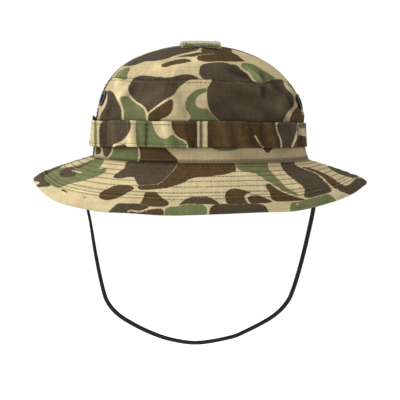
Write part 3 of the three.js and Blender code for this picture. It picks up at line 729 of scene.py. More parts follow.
def round_off(outline, rounds=2):
    """Cuts the corners of a closed outline."""
    points = np.array(outline, dtype=float)
    for _ in range(rounds):
        following = np.roll(points, -1, axis=0)
        points = np.stack([0.78 * points + 0.22 * following, 0.22 * points + 0.78 * following], axis=1)
        points = points.reshape(-1, 2)
    return points


def distance_to(places, start, end):
    """Distance from each place to the nearest of the lines from start to end."""
    best = np.full(len(places), np.inf)
    for a, b in zip(start, end):
        line = b - a
        share = np.clip(((places - a) @ line) / max(line @ line, 1e-9), 0, 1)
        best = np.minimum(best, np.linalg.norm(places - a - share[:, None] * line, axis=1))
    return best


def inside(places, start, end):
    crossed = np.zeros(len(places), dtype=bool)
    for a, b in zip(start, end):
        if a[1] != b[1]:
            spans = (a[1] > places[:, 1]) != (b[1] > places[:, 1])
            crossing = a[0] + (places[:, 1] - a[1]) / (b[1] - a[1]) * (b[0] - a[0])
            crossed ^= spans & (places[:, 0] < crossing)
    return crossed


def printed(places, shapes, gap=0.0):
    """Signed distance of each place to the edge of each ink, positive inside it."""
    fields = {ink: np.full(len(places), -FIELD_REACH) for ink in INKS}
    for ink, outline in shapes:
        if ink in VEIN_WIDTHS:
            points = np.array(outline, dtype=float)
            start, end, margin = points[:-1], points[1:], 3.0
        else:
            points = round_off(outline)
            start, end, margin = points, np.roll(points, -1, axis=0), FIELD_REACH
        low, high = points.min(axis=0) - margin, points.max(axis=0) + margin
        near = np.all((places > low) & (places < high), axis=1)
        if not near.any():
            continue
        distance = distance_to(places[near], start, end)
        if ink in VEIN_WIDTHS:
            depth = VEIN_WIDTHS[ink] / 2 - distance
        else:
            depth = np.where(inside(places[near], start, end), distance, -distance)
        for other in INKS:
            field = fields[other]
            if other == ink:
                field[near] = np.maximum(field[near], np.minimum(depth, FIELD_REACH))
            else:
                spare = gap if ink in INKS else 0.0
                field[near] = np.minimum(field[near], -(depth + spare))
    return fields


def front_elevation(points):
    """Where the front view shows each point, in the plane through the middle of the hat."""
    depth = points[:, 0] * math.sin(EYE_YAW) + points[:, 1] * math.cos(EYE_YAW)
    across = points[:, 0] * math.cos(EYE_YAW) - points[:, 1] * math.sin(EYE_YAW)
    distance = EYE_DISTANCE / MM
    height = EYE_HEIGHT / MM
    scale = distance / (distance + depth)
    return np.stack([across * scale, height + (points[:, 2] - height) * scale], axis=1)


def facing_front(points, normals):
    """1 where the cloth faces the front view squarely, 0 where it is edge on or faces away."""
    return np.einsum("ij,ij->i", unit(np.array(eye) / MM - points), unit(normals))


def print_cloth(mesh, points, normals, plan, front, seed, facing=FACING):
    """Stores the ink fields on a mesh. The front follows its outlines, and the rest has blobs laid
    out in plan, which is the cloth laid flat."""
    places = plan.reshape(-1, 2)
    fields = printed(places, blobs(seed, places.min(axis=0), places.max(axis=0)), BLOB_GAP)
    flat = points.reshape(-1, 3)
    bleed = np.ones(len(flat))
    if front:
        face = facing_front(flat, normals.reshape(-1, 3))
        weight = smooth_step(face, *facing)
        bleed = 1 - weight * (1 - np.clip(2 * face, 0.1, 1))
        ahead = printed(front_elevation(flat), front)
        for ink in INKS:
            fields[ink] = ahead[ink] * weight + fields[ink] * (1 - weight)
    for ink in INKS:
        set_field(mesh, ink, fields[ink])
    set_field(mesh, "bleed", bleed)


# ---- Materials ----
def ink_color(red, green, blue):
    """A print colour, given as it looks in even light from 0 to 255."""
    return tuple(PRINT_DEPTH * (value / 255) ** 2.2 for value in (red, green, blue)) + (1,)


PRINT_DEPTH = 0.545
TAN_INK = ink_color(208, 190, 146)
INK_COLORS = {GREEN: ink_color(113, 119, 79), BROWN: ink_color(85, 66, 44), DARK: ink_color(80, 70, 56)}
REVERSE_COLOR = ink_color(170, 160, 130)
WEAVE_PITCH = 0.00055
RIPSTOP_PITCH = 0.0046


class Shader:
    """A principled material whose nodes are made by short calls."""

    def __init__(self, name, roughness, sheen=0.0, metallic=0.0, specular=0.3):
        self.material = bpy.data.materials.new(name)
        self.material.use_nodes = True
        self.tree = self.material.node_tree
        self.surface = self.tree.nodes["Principled BSDF"]
        self.surface.inputs["Roughness"].default_value = roughness
        self.surface.inputs["Metallic"].default_value = metallic
        self.surface.inputs["Specular IOR Level"].default_value = specular
        self.surface.inputs["Sheen Weight"].default_value = sheen
        self.surface.inputs["Sheen Roughness"].default_value = 0.5

    def put(self, socket, value):
        if isinstance(value, bpy.types.NodeSocket):
            self.tree.links.new(value, socket)
        else:
            socket.default_value = value

    def math(self, operation, *values):
        node = self.tree.nodes.new("ShaderNodeMath")
        node.operation = operation
        for socket, value in zip(node.inputs, values):
            self.put(socket, value)
        return node.outputs[0]

    def vector(self, operation, *values):
        node = self.tree.nodes.new("ShaderNodeVectorMath")
        node.operation = operation
        for socket, value in zip(node.inputs, values):
            self.put(socket, value)
        return node.outputs[0]

    def mix(self, share, first, second, blend="MIX"):
        node = self.tree.nodes.new("ShaderNodeMix")
        node.data_type = "RGBA"
        node.blend_type = blend
        self.put(node.inputs[0], share)
        self.put(node.inputs[6], first)
        self.put(node.inputs[7], second)
        return node.outputs[2]

    def ramp(self, value, low, high, to_low=0.0, to_high=1.0):
        node = self.tree.nodes.new("ShaderNodeMapRange")
        node.interpolation_type = "SMOOTHSTEP"
        for socket, number in zip(node.inputs, (value, low, high, to_low, to_high)):
            self.put(socket, number)
        return node.outputs[0]

    def attribute(self, name, vector=False):
        node = self.tree.nodes.new("ShaderNodeAttribute")
        node.attribute_name = name
        return node.outputs["Vector" if vector else "Fac"]

    def place(self):
        """Points of the object, in metres."""
        return self.tree.nodes.new("ShaderNodeTexCoord").outputs["Object"]

    def threads(self):
        """Metres of cloth along and across its threads."""
        node = self.tree.nodes.new("ShaderNodeUVMap")
        node.uv_map = "thread"
        return node.outputs[0]

    def noise(self, where, scale, detail=2.0, rough=0.5):
        node = self.tree.nodes.new("ShaderNodeTexNoise")
        self.put(node.inputs["Vector"], where)
        node.inputs["Scale"].default_value = scale
        node.inputs["Detail"].default_value = detail
        node.inputs["Roughness"].default_value = rough
        return node.outputs[0]

    def split(self, where):
        node = self.tree.nodes.new("ShaderNodeSeparateXYZ")
        self.put(node.inputs[0], where)
        return node.outputs

    def weave(self, where, pitch):
        """Over and under of a plain weave, from -1 to 1."""
        parts = self.split(where)
        warp = self.math("SINE", self.math("MULTIPLY", parts[0], math.pi / pitch))
        weft = self.math("SINE", self.math("MULTIPLY", parts[1], math.pi / pitch))
        return self.math("MULTIPLY", warp, weft)

    def shade(self, color, amount):
        """Multiplies a colour by an amount near 1."""
        grey = self.tree.nodes.new("ShaderNodeCombineColor")
        for socket in grey.inputs:
            self.put(socket, amount)
        return self.mix(1.0, color, grey.outputs[0], "MULTIPLY")

    def finish(self, color, height=None, distance=0.0003, strength=0.6):
        self.put(self.surface.inputs["Base Color"], color)
        if height is not None:
            node = self.tree.nodes.new("ShaderNodeBump")
            node.inputs["Strength"].default_value = strength
            node.inputs["Distance"].default_value = distance
            self.put(node.inputs["Height"], height)
            self.put(self.surface.inputs["Normal"], node.outputs[0])
        return self.material


def fade_and_painted_shade(shader, color):
    """Slow fading and slubby threads over a woven cloth, with painted shade, painted highlights and some
    wear from a field on each piece's points, and its weave as a height.
    """
    place, threads = shader.place(), shader.threads()
    fade = shader.ramp(shader.noise(place, 38, 4, 0.6), 0.3, 0.7, 0.93, 1.06)
    bare = shader.ramp(shader.noise(place, 330, 5, 0.75), 0.36, 0.74, 0.0, 0.04)
    color = shader.mix(bare, color, TAN_INK)
    patchy = shader.ramp(shader.noise(place, 105, 2, 0.5), 0.32, 0.68, 0.93, 1.07)
    color = shader.shade(color, patchy)
    ribs = shader.split(threads)
    for rib in ribs[:2]:
        wave = shader.math("COSINE", shader.math("MULTIPLY", rib, FULL_TURN / RIPSTOP_PITCH))
        color = shader.shade(color, shader.ramp(wave, 0.72, 1.0, 1.0, 0.93))
    warp = shader.noise(shader.vector("MULTIPLY", threads, (2200, 90, 1)), 1, 1)
    weft = shader.noise(shader.vector("MULTIPLY", threads, (90, 2200, 1)), 1, 1)
    slub = shader.ramp(shader.math("ADD", warp, weft), 0.75, 1.25, 0.91, 1.09)
    weave = shader.weave(threads, WEAVE_PITCH)
    relief = shader.math("ADD", shader.math("MULTIPLY", weave, 0.5), shader.math("ADD", warp, weft))
    faded_shaded_color = shader.shade(shader.shade(color, fade), slub)
    # a per-point field darkens or lightens the cloth: mostly painted shade in seams, creases, grooves and
    # under the band, some painted highlights on edges, and a little real wear
    faded_shaded_color = shader.shade(faded_shaded_color, shader.ramp(shader.attribute("painted_shade_and_wear"), -1, 1, 0.34, 1.66))
    return faded_shaded_color, relief


def print_material(name):
    """Camouflage cloth: the ink fields over tan, with a slightly bled edge."""
    shader = Shader(name, roughness=0.95, specular=0.06)
    bleed = shader.math("MULTIPLY", shader.math("SUBTRACT", shader.noise(shader.place(), 700, 2), 0.5), 1.1)
    bleed = shader.math("MULTIPLY", bleed, shader.attribute("bleed"))
    color = TAN_INK
    for ink in INKS:
        edge = shader.math("ADD", shader.attribute(ink), bleed)
        color = shader.mix(shader.ramp(edge, -0.28, 0.28), color, INK_COLORS[ink])
    pale = shader.mix(0.55, color, REVERSE_COLOR)
    color = shader.mix(shader.attribute("reverse"), color, pale)
    color, relief = fade_and_painted_shade(shader, color)
    return shader.finish(color, relief, 0.00022, 0.55)


def plain_cloth(name, color):
    shader = Shader(name, roughness=0.95, specular=0.06)
    color, relief = fade_and_painted_shade(shader, color)
    return shader.finish(color, relief, 0.0003, 0.6)


def thread_material(name, color):
    shader = Shader(name, roughness=0.8, specular=0.15)
    twist = shader.noise(shader.place(), 2600, 1)
    return shader.finish(shader.shade(color, shader.ramp(twist, 0.3, 0.7, 0.82, 1.15)), twist, 0.0001, 0.5)


def pile_material(name):
    """Loop pile, with painted shade low between its loops and painted light on their tops."""
    shader = Shader(name, roughness=0.8, sheen=0.1, specular=0.2)
    patchy = shader.noise(shader.place(), 160, 3)
    color = shader.mix(shader.ramp(patchy, 0.35, 0.65), ink_color(200, 197, 151), ink_color(238, 232, 188))
    # painted shade at the roots of the loops and painted light on their tops
    color = shader.shade(color, shader.ramp(shader.attribute("loop"), 0, 1, 0.45, 1.1))
    return shader.finish(color, shader.noise(shader.place(), 1900, 2), 0.0002, 0.5)


def metal_material(name):
    """Black lacquer on brass, rubbed through a little in random patches."""
    shader = Shader(name, roughness=0.5, specular=0.15)
    rub = shader.ramp(shader.noise(shader.place(), 900, 4, 0.7), 0.58, 0.74)
    color = shader.mix(rub, (0.007, 0.007, 0.006, 1), (0.03, 0.027, 0.021, 1))
    return shader.finish(color, shader.noise(shader.place(), 2600, 3), 0.00004, 0.4)


def braid_material(name):
    """Braided nylon, its strands crossing in two directions."""
    shader = Shader(name, roughness=0.7, specular=0.2)
    parts = shader.split(shader.attribute("braid", vector=True))
    lean = shader.math("MULTIPLY", parts[0], FULL_TURN)
    turn = shader.math("MULTIPLY", parts[1], 5 * FULL_TURN)
    left = shader.math("SINE", shader.math("ADD", turn, lean))
    right = shader.math("SINE", shader.math("SUBTRACT", turn, lean))
    strand = shader.math("MAXIMUM", left, right)
    fibre = shader.noise(shader.place(), 2400, 2)
    # paler on the strands' crests and darker in the grooves between them: painted light and painted shade
    color = shader.mix(shader.ramp(strand, -0.2, 1), ink_color(26, 29, 17), ink_color(44, 47, 31))
    color = shader.shade(color, shader.ramp(fibre, 0.3, 0.7, 0.85, 1.15))
    return shader.finish(color, shader.math("ADD", strand, fibre), 0.0002, 0.7)


CAMOUFLAGE = print_material("camouflage")
SWEATBAND = plain_cloth("sweatband_cotton", ink_color(141, 130, 97))
CANVAS = plain_cloth("interlining_canvas", ink_color(216, 211, 196))
TAPE = plain_cloth("patch_backing", ink_color(110, 110, 82))
THREAD = thread_material("sewing_thread", ink_color(124, 108, 75))
DARK_THREAD = thread_material("bar_tack_thread", ink_color(72, 64, 48))
PILE = pile_material("loop_pile")
METAL = metal_material("vent_metal")
BRAID = braid_material("cord_braid")
cord_mesh.materials.append(BRAID)


# ---- Crown ----
def steps(low, high, pitch):
    return np.linspace(low, high, max(2, int(round((high - low) / pitch)) + 1))


def grid(rows, columns):
    return np.meshgrid(rows, columns, indexing="ij")


ROUND = even_turns(ROUND_STEPS)


def dress_cloth(name, top, bottom, closed, plan, front, seed, keep=None, weld=False, reverse=1.0,
                painted_shade_and_wear=None, facing=FACING, replaces=(), material=CAMOUFLAGE):
    """A piece of printed cloth between two grids of points, which face outwards."""
    painted_shade_and_wear = np.broadcast_to(0.0 if painted_shade_and_wear is None else painted_shade_and_wear, top.shape[:2])
    columns, rows = top[1, 1] - top[1, 0], top[1, 0] - top[0, 0]
    if np.cross(columns, rows) @ (top[1, 0] - bottom[1, 0]) < 0:
        top, bottom, plan, painted_shade_and_wear = top[::-1], bottom[::-1], plan[::-1], painted_shade_and_wear[::-1]
    mesh = thick_sheet(name, top, bottom, closed, keep)
    points = np.concatenate([top.reshape(-1, 3), bottom.reshape(-1, 3)])
    out = unit((top - bottom).reshape(-1, 3))
    plan = np.concatenate([plan.reshape(-1, 2)] * 2)
    print_cloth(mesh, points, np.concatenate([out, out]), plan, front, seed, facing)
    count = top.shape[0] * top.shape[1]
    set_field(mesh, "reverse", np.repeat([0.0, reverse], count))
    set_field(mesh, "painted_shade_and_wear", np.tile(painted_shade_and_wear.ravel(), 2))
    if weld:
        close_up(mesh)
    mesh.materials.append(material)
    add_object(name, mesh, "hat", replaces)


def close_up(mesh):
    work = bmesh.new()
    work.from_mesh(mesh)
    bmesh.ops.remove_doubles(work, verts=work.verts, dist=1e-6)
    work.to_mesh(mesh)
    work.free()


VENTS = {
    "front_left": -(90 - VENT_SIDE_ANGLE) * DEGREE,
    "front_right": (90 - VENT_SIDE_ANGLE) * DEGREE,
    "rear_left": -(90 + VENT_SIDE_ANGLE) * DEGREE,
    "rear_right": (90 + VENT_SIDE_ANGLE) * DEGREE,
}
VENT_HOLE_RADIUS = 5.3


def vent_frame(angle):
    """The middle of a vent on the cloth, and its sideways, upward and outward directions."""
    middle = wall(angle, VENT_HEIGHT, SEAM_GAP)
    outward = unit(wall(angle, VENT_HEIGHT, 1.0) - wall(angle, VENT_HEIGHT, 0.0))
    sideways = unit(np.cross([0, 0, 1], outward))
    return middle, sideways, np.cross(outward, sideways), outward


def open_vents(points):
    """Draws the cloth back to each vent's barrel. Returns the points and which lie in a hole."""
    points = points.copy()
    gone = np.zeros(points.shape[:2], dtype=bool)
    for angle in VENTS.values():
        middle, sideways, upward, outward = vent_frame(angle)
        x, y = (points - middle) @ sideways, (points - middle) @ upward
        radius = np.maximum(np.hypot(x, y), 1e-6)
        hole = (radius < VENT_HOLE_RADIUS) & (np.abs((points - middle) @ outward) < 8)
        push = np.where(hole, VENT_HOLE_RADIUS / radius - 1, 0)[..., None]
        points += push * (x[..., None] * sideways + y[..., None] * upward)
        gone |= hole
    return points, gone


def crown_panel(name, node, middle, seed):
    seam = SEAM_GAP / 2 / WALL_HALF_LENGTH
    angles = steps(middle - math.pi / 2 + seam, middle + math.pi / 2 - seam, FULL_TURN / ROUND_STEPS / 1.6)
    heights = steps(WALL_FOOT, WALL_HEIGHT - 0.15, 1.3)
    height, angle = grid(heights, angles)
    from_seam = np.minimum(angle - angles[0], angles[-1] - angle) * MEAN_RADIUS
    sink = -0.7 * bump(from_seam, 1.5)
    top, gone = open_vents(wall(angle, height, sink))
    bottom, _ = open_vents(wall(angle, height, sink - CROWN_CLOTH))
    keep = ~(gone[:-1, :-1] & gone[1:, :-1] & gone[:-1, 1:] & gone[1:, 1:])
    plan = np.stack([angle * MEAN_RADIUS, height], axis=-1)
    # Painted shade on the wall: in the side seams, under the foliage band, along the brim seam and in the
    # eased puckers. Folds get painted light on their ridges and painted shade in their hollows, and the
    # wall is a little darker all over.
    along = height - band_lift(angle)
    shade_under_band = window(along, BAND_LOW - 1.2, BAND_LOW + 0.8, BAND_HIGH, BAND_HIGH + 1.6)
    eased = bump(angle - EASED_AT, 0.055) * bump(height - 65.2, 2.2)
    marks = np.maximum(np.sin(angle * MEAN_RADIUS * FULL_TURN / 2.6), 0)
    painted_shade_and_wear = (-0.12 - 0.3 * bump(from_seam, 1.2) - 0.75 * shade_under_band - 1.0 * bump(height - 2.8, 1.3)
            + 0.45 * folds(angle, height, WALL_FOLDS) - 1.2 * eased * marks)
    dress_cloth(name, top, bottom, False, plan, CROWN_FRONT, seed, keep=keep, painted_shade_and_wear=painted_shade_and_wear, replaces=[node])


crown_panel("crown_front_cloth", "crown_front_panel", 0, 11)
crown_panel("crown_rear_cloth", "crown_rear_panel", math.pi, 12)


def crown_tip():
    shares = np.concatenate([[0.0], steps(0.012, 0.90, 0.018), steps(0.91, 0.997, 0.0097)])
    share, angle = grid(shares[::-1], ROUND)
    top, bottom = tip(angle, share), tip(angle, share, -CROWN_CLOTH)
    plan = top[..., :2] + TIP_PLAN
    to_seam = (1 - share) * TIP_HALF_LENGTH
    # folds get painted light on their ridges and painted shade in their hollows, and the tip is a little
    # darker all over
    painted_shade_and_wear = 0.45 * folds(angle, WALL_HEIGHT + to_seam, WALL_FOLDS) - 0.15
    dress_cloth("crown_tip_cloth", top, bottom, True, plan, CROWN_FRONT, 13, weld=True, painted_shade_and_wear=painted_shade_and_wear,
                facing=(0.04, 0.1), replaces=["crown_tip"])


crown_tip()


def sweatband():
    heights = steps(WALL_FOOT, WALL_FOOT + SWEATBAND_HEIGHT, 1.5)
    height, angle = grid(heights, ROUND)
    roll = np.minimum(height - heights[0], heights[-1] - height)
    round_edge = 0.4 * bump(roll, 0.9)
    soft = 0.3 * np.sin(23 * angle + 0.6 * height) * bump(height - 30, 9)
    outside = -CROWN_CLOTH - SEAM_GAP - 0.1
    top = wall(angle, height, outside - round_edge)
    bottom = wall(angle, height, outside - SWEATBAND_CLOTH + round_edge - np.maximum(soft, 0))
    plan = np.stack([angle * MEAN_RADIUS, height], axis=-1)
    # darker along its two lines of stitching
    dress_cloth("sweatband_cloth", top, bottom, True, plan, None, 14, painted_shade_and_wear=-0.2 * bump(roll - 2.4, 0.6),
                replaces=["sweatband"], material=SWEATBAND)


sweatband()

# ---- Foliage band ----
BAND_STEPS = BAND_TACKS * 60


def foliage_band():
    heights = np.concatenate([steps(BAND_LOW, BAND_LOW + 1.4, 0.35),
                              steps(BAND_LOW + 2.2, BAND_HIGH - 2.2, 1.1),
                              steps(BAND_HIGH - 1.4, BAND_HIGH, 0.35)])
    height, angle = grid(heights, even_turns(BAND_STEPS))
    edge = np.minimum(height - BAND_LOW, BAND_HIGH - height)
    rounding = 0.45 * np.clip(1 - edge / 1.2, 0, 1) ** 2
    hem = 0.16 * bump(edge - 1.4, 0.9) - 0.1 * bump(edge - 2.9, 0.5)
    tack_pitch = FULL_TURN / BAND_TACKS * MEAN_RADIUS
    from_tack = np.abs(wrapped(angle / FULL_TURN * BAND_TACKS, 1)) * tack_pitch
    across = wrapped(angle) * WALL_HALF_WIDTH
    flap = 0.8 * window(across, -2.2, -1.5, 2.2, 3.2)
    lip = 0.7 * bump(across + 4.2, 1.1) - 0.8 * bump(across + 2.6, 0.5)
    crumple = 0.22 * np.sin(height * 1.1 + 5 * np.sin(3 * angle)) * bump(from_tack, 5)
    rise = hem + flap + lip + crumple
    top = band(angle, height, BAND_CLOTH - rounding + rise)
    bottom = band(angle, height, rounding + np.maximum(rise, 0) * 0.5)
    plan = np.stack([angle * MEAN_RADIUS, height + BAND_PLAN], axis=-1)
    # Painted light and shade on the band: a painted highlight just in from each edge and a painted dark
    # line at the edge itself, painted shade in the creases at each tack and a painted shadow beside the
    # flap at the front. Folds get painted light on their ridges and painted shade in their hollows.
    painted_shade_and_wear = 0.2 * bump(edge - 0.5, 0.7) - 0.5 * bump(from_tack, 0.9) - 0.22 * bump(from_tack, 5)
    shadow_beside_flap = 1.8 * bump(across + 2.5, 0.9) + 0.5 * bump(across + 8.0, 2.4) + 0.3 * bump(across - 5, 2)
    painted_shade_and_wear = painted_shade_and_wear * (np.abs(across) > 7) - shadow_beside_flap
    painted_shade_and_wear = painted_shade_and_wear + 0.45 * band_folds(angle, height) - 0.3 * bump(edge, 0.5)
    dress_cloth("foliage_band_cloth", top, bottom, True, plan, BAND_FRONT, 15, reverse=0.6, painted_shade_and_wear=painted_shade_and_wear,
                facing=(0.06, 0.16), replaces=["foliage_band"])


foliage_band()

# ---- Brim ----
EDGE_REACH = BRIM_WIDTH - BINDING_CLOTH - SEAM_GAP


def brim_ply(name, node, high, low, face, seed, front, material=CAMOUFLAGE):
    """One ply of the brim between two depths under its upper face. face says which side shows."""
    reaches = steps(0, EDGE_REACH, 0.8)
    reach, angle = grid(reaches, ROUND)
    shallow = brim(angle, reach, -high, face=face)
    deep = brim(angle, reach, -low, face=face)
    top, bottom = (shallow, deep) if face >= 0 else (deep, shallow)
    plan = brim(angle, reach, 0, face=0)[..., :2] + BRIM_PLAN * (2 - face)
    # Painted shade in the grooves of the quilting rows, along the seam to the crown and along the shadow
    # line at the binding's inner edge.
    phase = wrapped((reach - BRIM_ROW_FIRST) / BRIM_ROW_PITCH, 1)
    in_rows = (reach > 4) & (reach < BRIM_WIDTH - BINDING_WIDTH)
    painted_shade_and_wear = (0.04 - 0.42 * bump(phase * BRIM_ROW_PITCH, 0.6)) * in_rows - 0.9 * bump(reach, 2.2)
    painted_shade_and_wear = painted_shade_and_wear - 0.6 * bump(reach - (BRIM_WIDTH - BINDING_WIDTH - 0.4), 0.9)
    dress_cloth(name, top, bottom, True, plan, front, seed, reverse=0.3, painted_shade_and_wear=painted_shade_and_wear,
                facing=(0.0, 0.03), replaces=[node], material=material)


brim_ply("brim_upper_cloth", "brim_upper_ply", 0, BRIM_CLOTH, 1, 16, BRIM_FRONT)
brim_ply("brim_interlining_cloth", "brim_interlining", INTERLINING_TOP, INTERLINING_TOP + INTERLINING_CLOTH,
         0, 17, None, CANVAS)
brim_ply("brim_lower_cloth", "brim_lower_ply", LOWER_PLY_TOP, BRIM_THICKNESS, -1, 18, None)


def brim_binding():
    """A tape folded over the brim's edge, from its upper edge round to its lower one."""
    inner = BRIM_WIDTH - BINDING_WIDTH
    turn_radius = (BRIM_THICKNESS + 2 * PLY_GAP + 1.0) / 2
    straight = steps(inner, BRIM_WIDTH - turn_radius * 0.75, 0.6)
    turns = np.linspace(90, -90, 13)[1:-1] * DEGREE
    middle = -BRIM_THICKNESS / 2
    tuck = 0.2 * bump(straight - inner, 0.8)
    upper = middle + turn_radius - tuck
    lower = middle - turn_radius + tuck
    reaches = np.concatenate([straight, straight[-1] + turn_radius * 0.75 * np.cos(turns), straight[::-1]])
    depths = np.concatenate([upper, middle + turn_radius * np.sin(turns), lower[::-1]])
    shrink = np.concatenate([np.zeros(len(straight)), np.cos(turns), np.zeros(len(straight))])
    flat = np.concatenate([np.ones(len(straight)), np.sin(turns), -np.ones(len(straight))])
    reach, angle = grid(reaches, ROUND)
    depth, pull, over = depths[:, None], shrink[:, None], flat[:, None]
    ripple = 0.12 * np.sin(150 * angle + reach) + 0.1 * np.sin(211 * angle - reach)
    seam = -0.3 * bump(reach - (inner + 1.6), 0.6)
    puff = (ripple + seam) * over
    top = brim(angle, reach, depth + puff, face=0)
    bottom = brim(angle, reach - 0.7 * pull, depth + puff - 0.7 * over, face=0)
    plan = top[..., :2] + BINDING_PLAN
    # Lighter round the fold, as worn. Painted shade on the under side of the turn, a painted highlight on
    # the inner edge, and painted shade beside the stitched seam.
    painted_shade_and_wear = (0.1 * pull - 0.6 * smooth_step(-over, -0.4, 0.4) + 0.3 * bump(reach - inner - 0.9, 0.7)
            - 0.35 * bump(reach - (inner + 2.3), 0.6))
    dress_cloth("brim_binding_tape", top, bottom, True, plan, BRIM_FRONT, 19, reverse=0.3, painted_shade_and_wear=painted_shade_and_wear,
                facing=(-0.06, -0.01), replaces=["brim_binding"])


brim_binding()

# ---- Stitching: each stitch is a short thread that dips into the cloth at both ends ----
STITCH_LENGTH = 2.5
STITCH_SIDES = 6
LINE_POINTS = 1441
ROW_STAND_OFF = 0.12
BINDING_STAND_OFF = 0.75
CORD_CLEAR = 83  # degrees to each side of front and back, where the lower row stops short of the cord


def stitches(name, lines, material=THREAD, radius=0.22, length=STITCH_LENGTH, pitch=THREAD_PITCH):
    """Stitches along lines of cloth. A line is (points, outward directions)."""
    along = np.array([-0.5, -0.36, -0.12, 0.12, 0.36, 0.5]) * length
    lift = np.array([-0.9, 0.15, 0.45, 0.45, 0.15, -0.9]) * radius
    girth = np.array([0.45, 0.95, 1.0, 1.0, 0.95, 0.45]) * radius
    turn = even_turns(STITCH_SIDES)
    local = np.zeros((len(along), STITCH_SIDES, 3))
    local[..., 0] = along[:, None]
    local[..., 1] = girth[:, None] * np.cos(turn)
    local[..., 2] = lift[:, None] + girth[:, None] * np.sin(turn)
    points, faces, first = [], [], 0
    for path, outward in lines:
        total = cumulative(path)
        places = np.arange(pitch / 2, total[-1] - pitch / 3, pitch)
        middle = read_at(places, total, path)
        up = unit(read_at(places, total, outward))
        forward = unit(read_at(places + 0.6, total, path) - middle)
        aside = unit(np.cross(up, forward))
        for spot, one, two, three in zip(middle, forward, aside, up):
            points.append((spot + local @ np.array([one, two, three])).reshape(-1, 3))
            faces += tube_faces(len(along), STITCH_SIDES, first)
            first += len(along) * STITCH_SIDES
    mesh = mesh_from(name, np.concatenate(points), faces)
    mesh.materials.append(material)
    add_object(name, mesh)


def line_on(surface, angles, place, offset, outward=1):
    """A line of cloth and its outward directions. outward is -1 on the inner side."""
    path = surface(angles, place, offset)
    return path, surface(angles, place, offset + outward) - path


ALL_ROUND = np.linspace(0, FULL_TURN, LINE_POINTS)


def brim_line(reach, stand_off, face, quilted=True, angles=ALL_ROUND):
    """A line over the brim's upper face, 1, or under its lower one, -1, with or without its quilting."""
    offset = stand_off if face > 0 else -BRIM_THICKNESS - stand_off
    side = face if quilted else 0
    path = brim(angles, reach, offset, side)
    return path, brim(angles, reach, offset + face, side) - path


brim_rows = [BRIM_ROW_FIRST + row * BRIM_ROW_PITCH for row in range(BRIM_ROWS)]
BINDING_STITCH = BRIM_WIDTH - BINDING_WIDTH + 1.6
stitches("brim_stitching_upper", [brim_line(reach, ROW_STAND_OFF, 1) for reach in brim_rows])
clear_of_cord = [np.linspace(middle - CORD_CLEAR, middle + CORD_CLEAR, 721) * DEGREE for middle in (0, 180)]
stitches("brim_stitching_lower",
         [brim_line(reach, ROW_STAND_OFF, -1) for reach in brim_rows[1:]]
         + [brim_line(BRIM_ROW_FIRST, ROW_STAND_OFF, -1, angles=angles) for angles in clear_of_cord])
stitches("binding_stitching",
         [brim_line(BINDING_STITCH, BINDING_STAND_OFF, face, quilted=False) for face in (1, -1)])
stitches("wall_stitching", [line_on(wall, ALL_ROUND, height, 0.08) for height in (4.6, WALL_HEIGHT - 2.4)],
         radius=0.2)
side_heights = np.linspace(WALL_FOOT + 5, WALL_HEIGHT - 5, 80)
stitches("side_seam_stitching", [
    line_on(wall, side * math.pi / 2 + aside / MEAN_RADIUS, side_heights, 0.05)
    for side in (-1, 1) for aside in (-2.6, 2.6)])
SWEATBAND_FACE = -CROWN_CLOTH - SEAM_GAP - SWEATBAND_CLOTH - 0.15
stitches("sweatband_stitching", [
    line_on(wall, ALL_ROUND, WALL_FOOT + height, SWEATBAND_FACE, outward=-1)
    for height in (2.5, SWEATBAND_HEIGHT - 2.5)])


def tack_line(tack):
    """A close column of thread across the band."""
    heights = np.linspace(BAND_LOW + 1.6, BAND_HIGH - 1.6, 60)
    zigzag = 0.5 / MEAN_RADIUS * np.sign(np.sin(np.arange(60) * math.pi / 2 + 0.8))
    return line_on(band, tack / BAND_TACKS * FULL_TURN + zigzag, heights, BAND_CLOTH + 0.05)


stitches("band_bar_tacks", [tack_line(tack) for tack in range(1, BAND_TACKS)], DARK_THREAD,
         length=0.9, pitch=0.62)
band_angles = np.linspace(0.03, FULL_TURN - 0.03, LINE_POINTS)
stitches("band_edge_stitching", [
    line_on(band, band_angles, height, BAND_CLOTH + 0.02)
    for height in (BAND_LOW + 2.7, BAND_HIGH - 2.7)], DARK_THREAD, radius=0.16)

# ---- Loop patch: a woven backing with a pile of small loops, thick at its rounded edge ----
PATCH_WIDTH = 33.5
PATCH_LENGTH = 64
PATCH_MIDDLE = -10
PATCH_TOP = 101.3
PATCH_CLOTH = 3.4
LOOP_STEP = 0.92
LOOP_HEIGHT = 1.15
LOOP_HALF_WIDTH = 0.42
LOOP_THREAD = 0.16
LOOP_SIDES = 4
PILE_INSET = 1.4
BACKING_INSET = 1.2


def dome_height(x, y):
    share = np.hypot(x / TIP_HALF_WIDTH, y / TIP_HALF_LENGTH)
    return dome(share) + slump(x, WALL_HEIGHT)


def pad_height(x, y):
    """Top of the patch's backing, rounded off at its edge."""
    edge = np.minimum(PATCH_WIDTH / 2 - np.abs(x), PATCH_LENGTH / 2 - np.abs(y))
    top = np.minimum(PATCH_TOP, dome_height(0.5 * x, y + PATCH_MIDDLE) + PATCH_CLOTH)
    return top - LOOP_HEIGHT - 0.7 * bump(edge, 1.7) + 0.12 * np.sin(x / 3.1) * np.sin(y / 4.3)


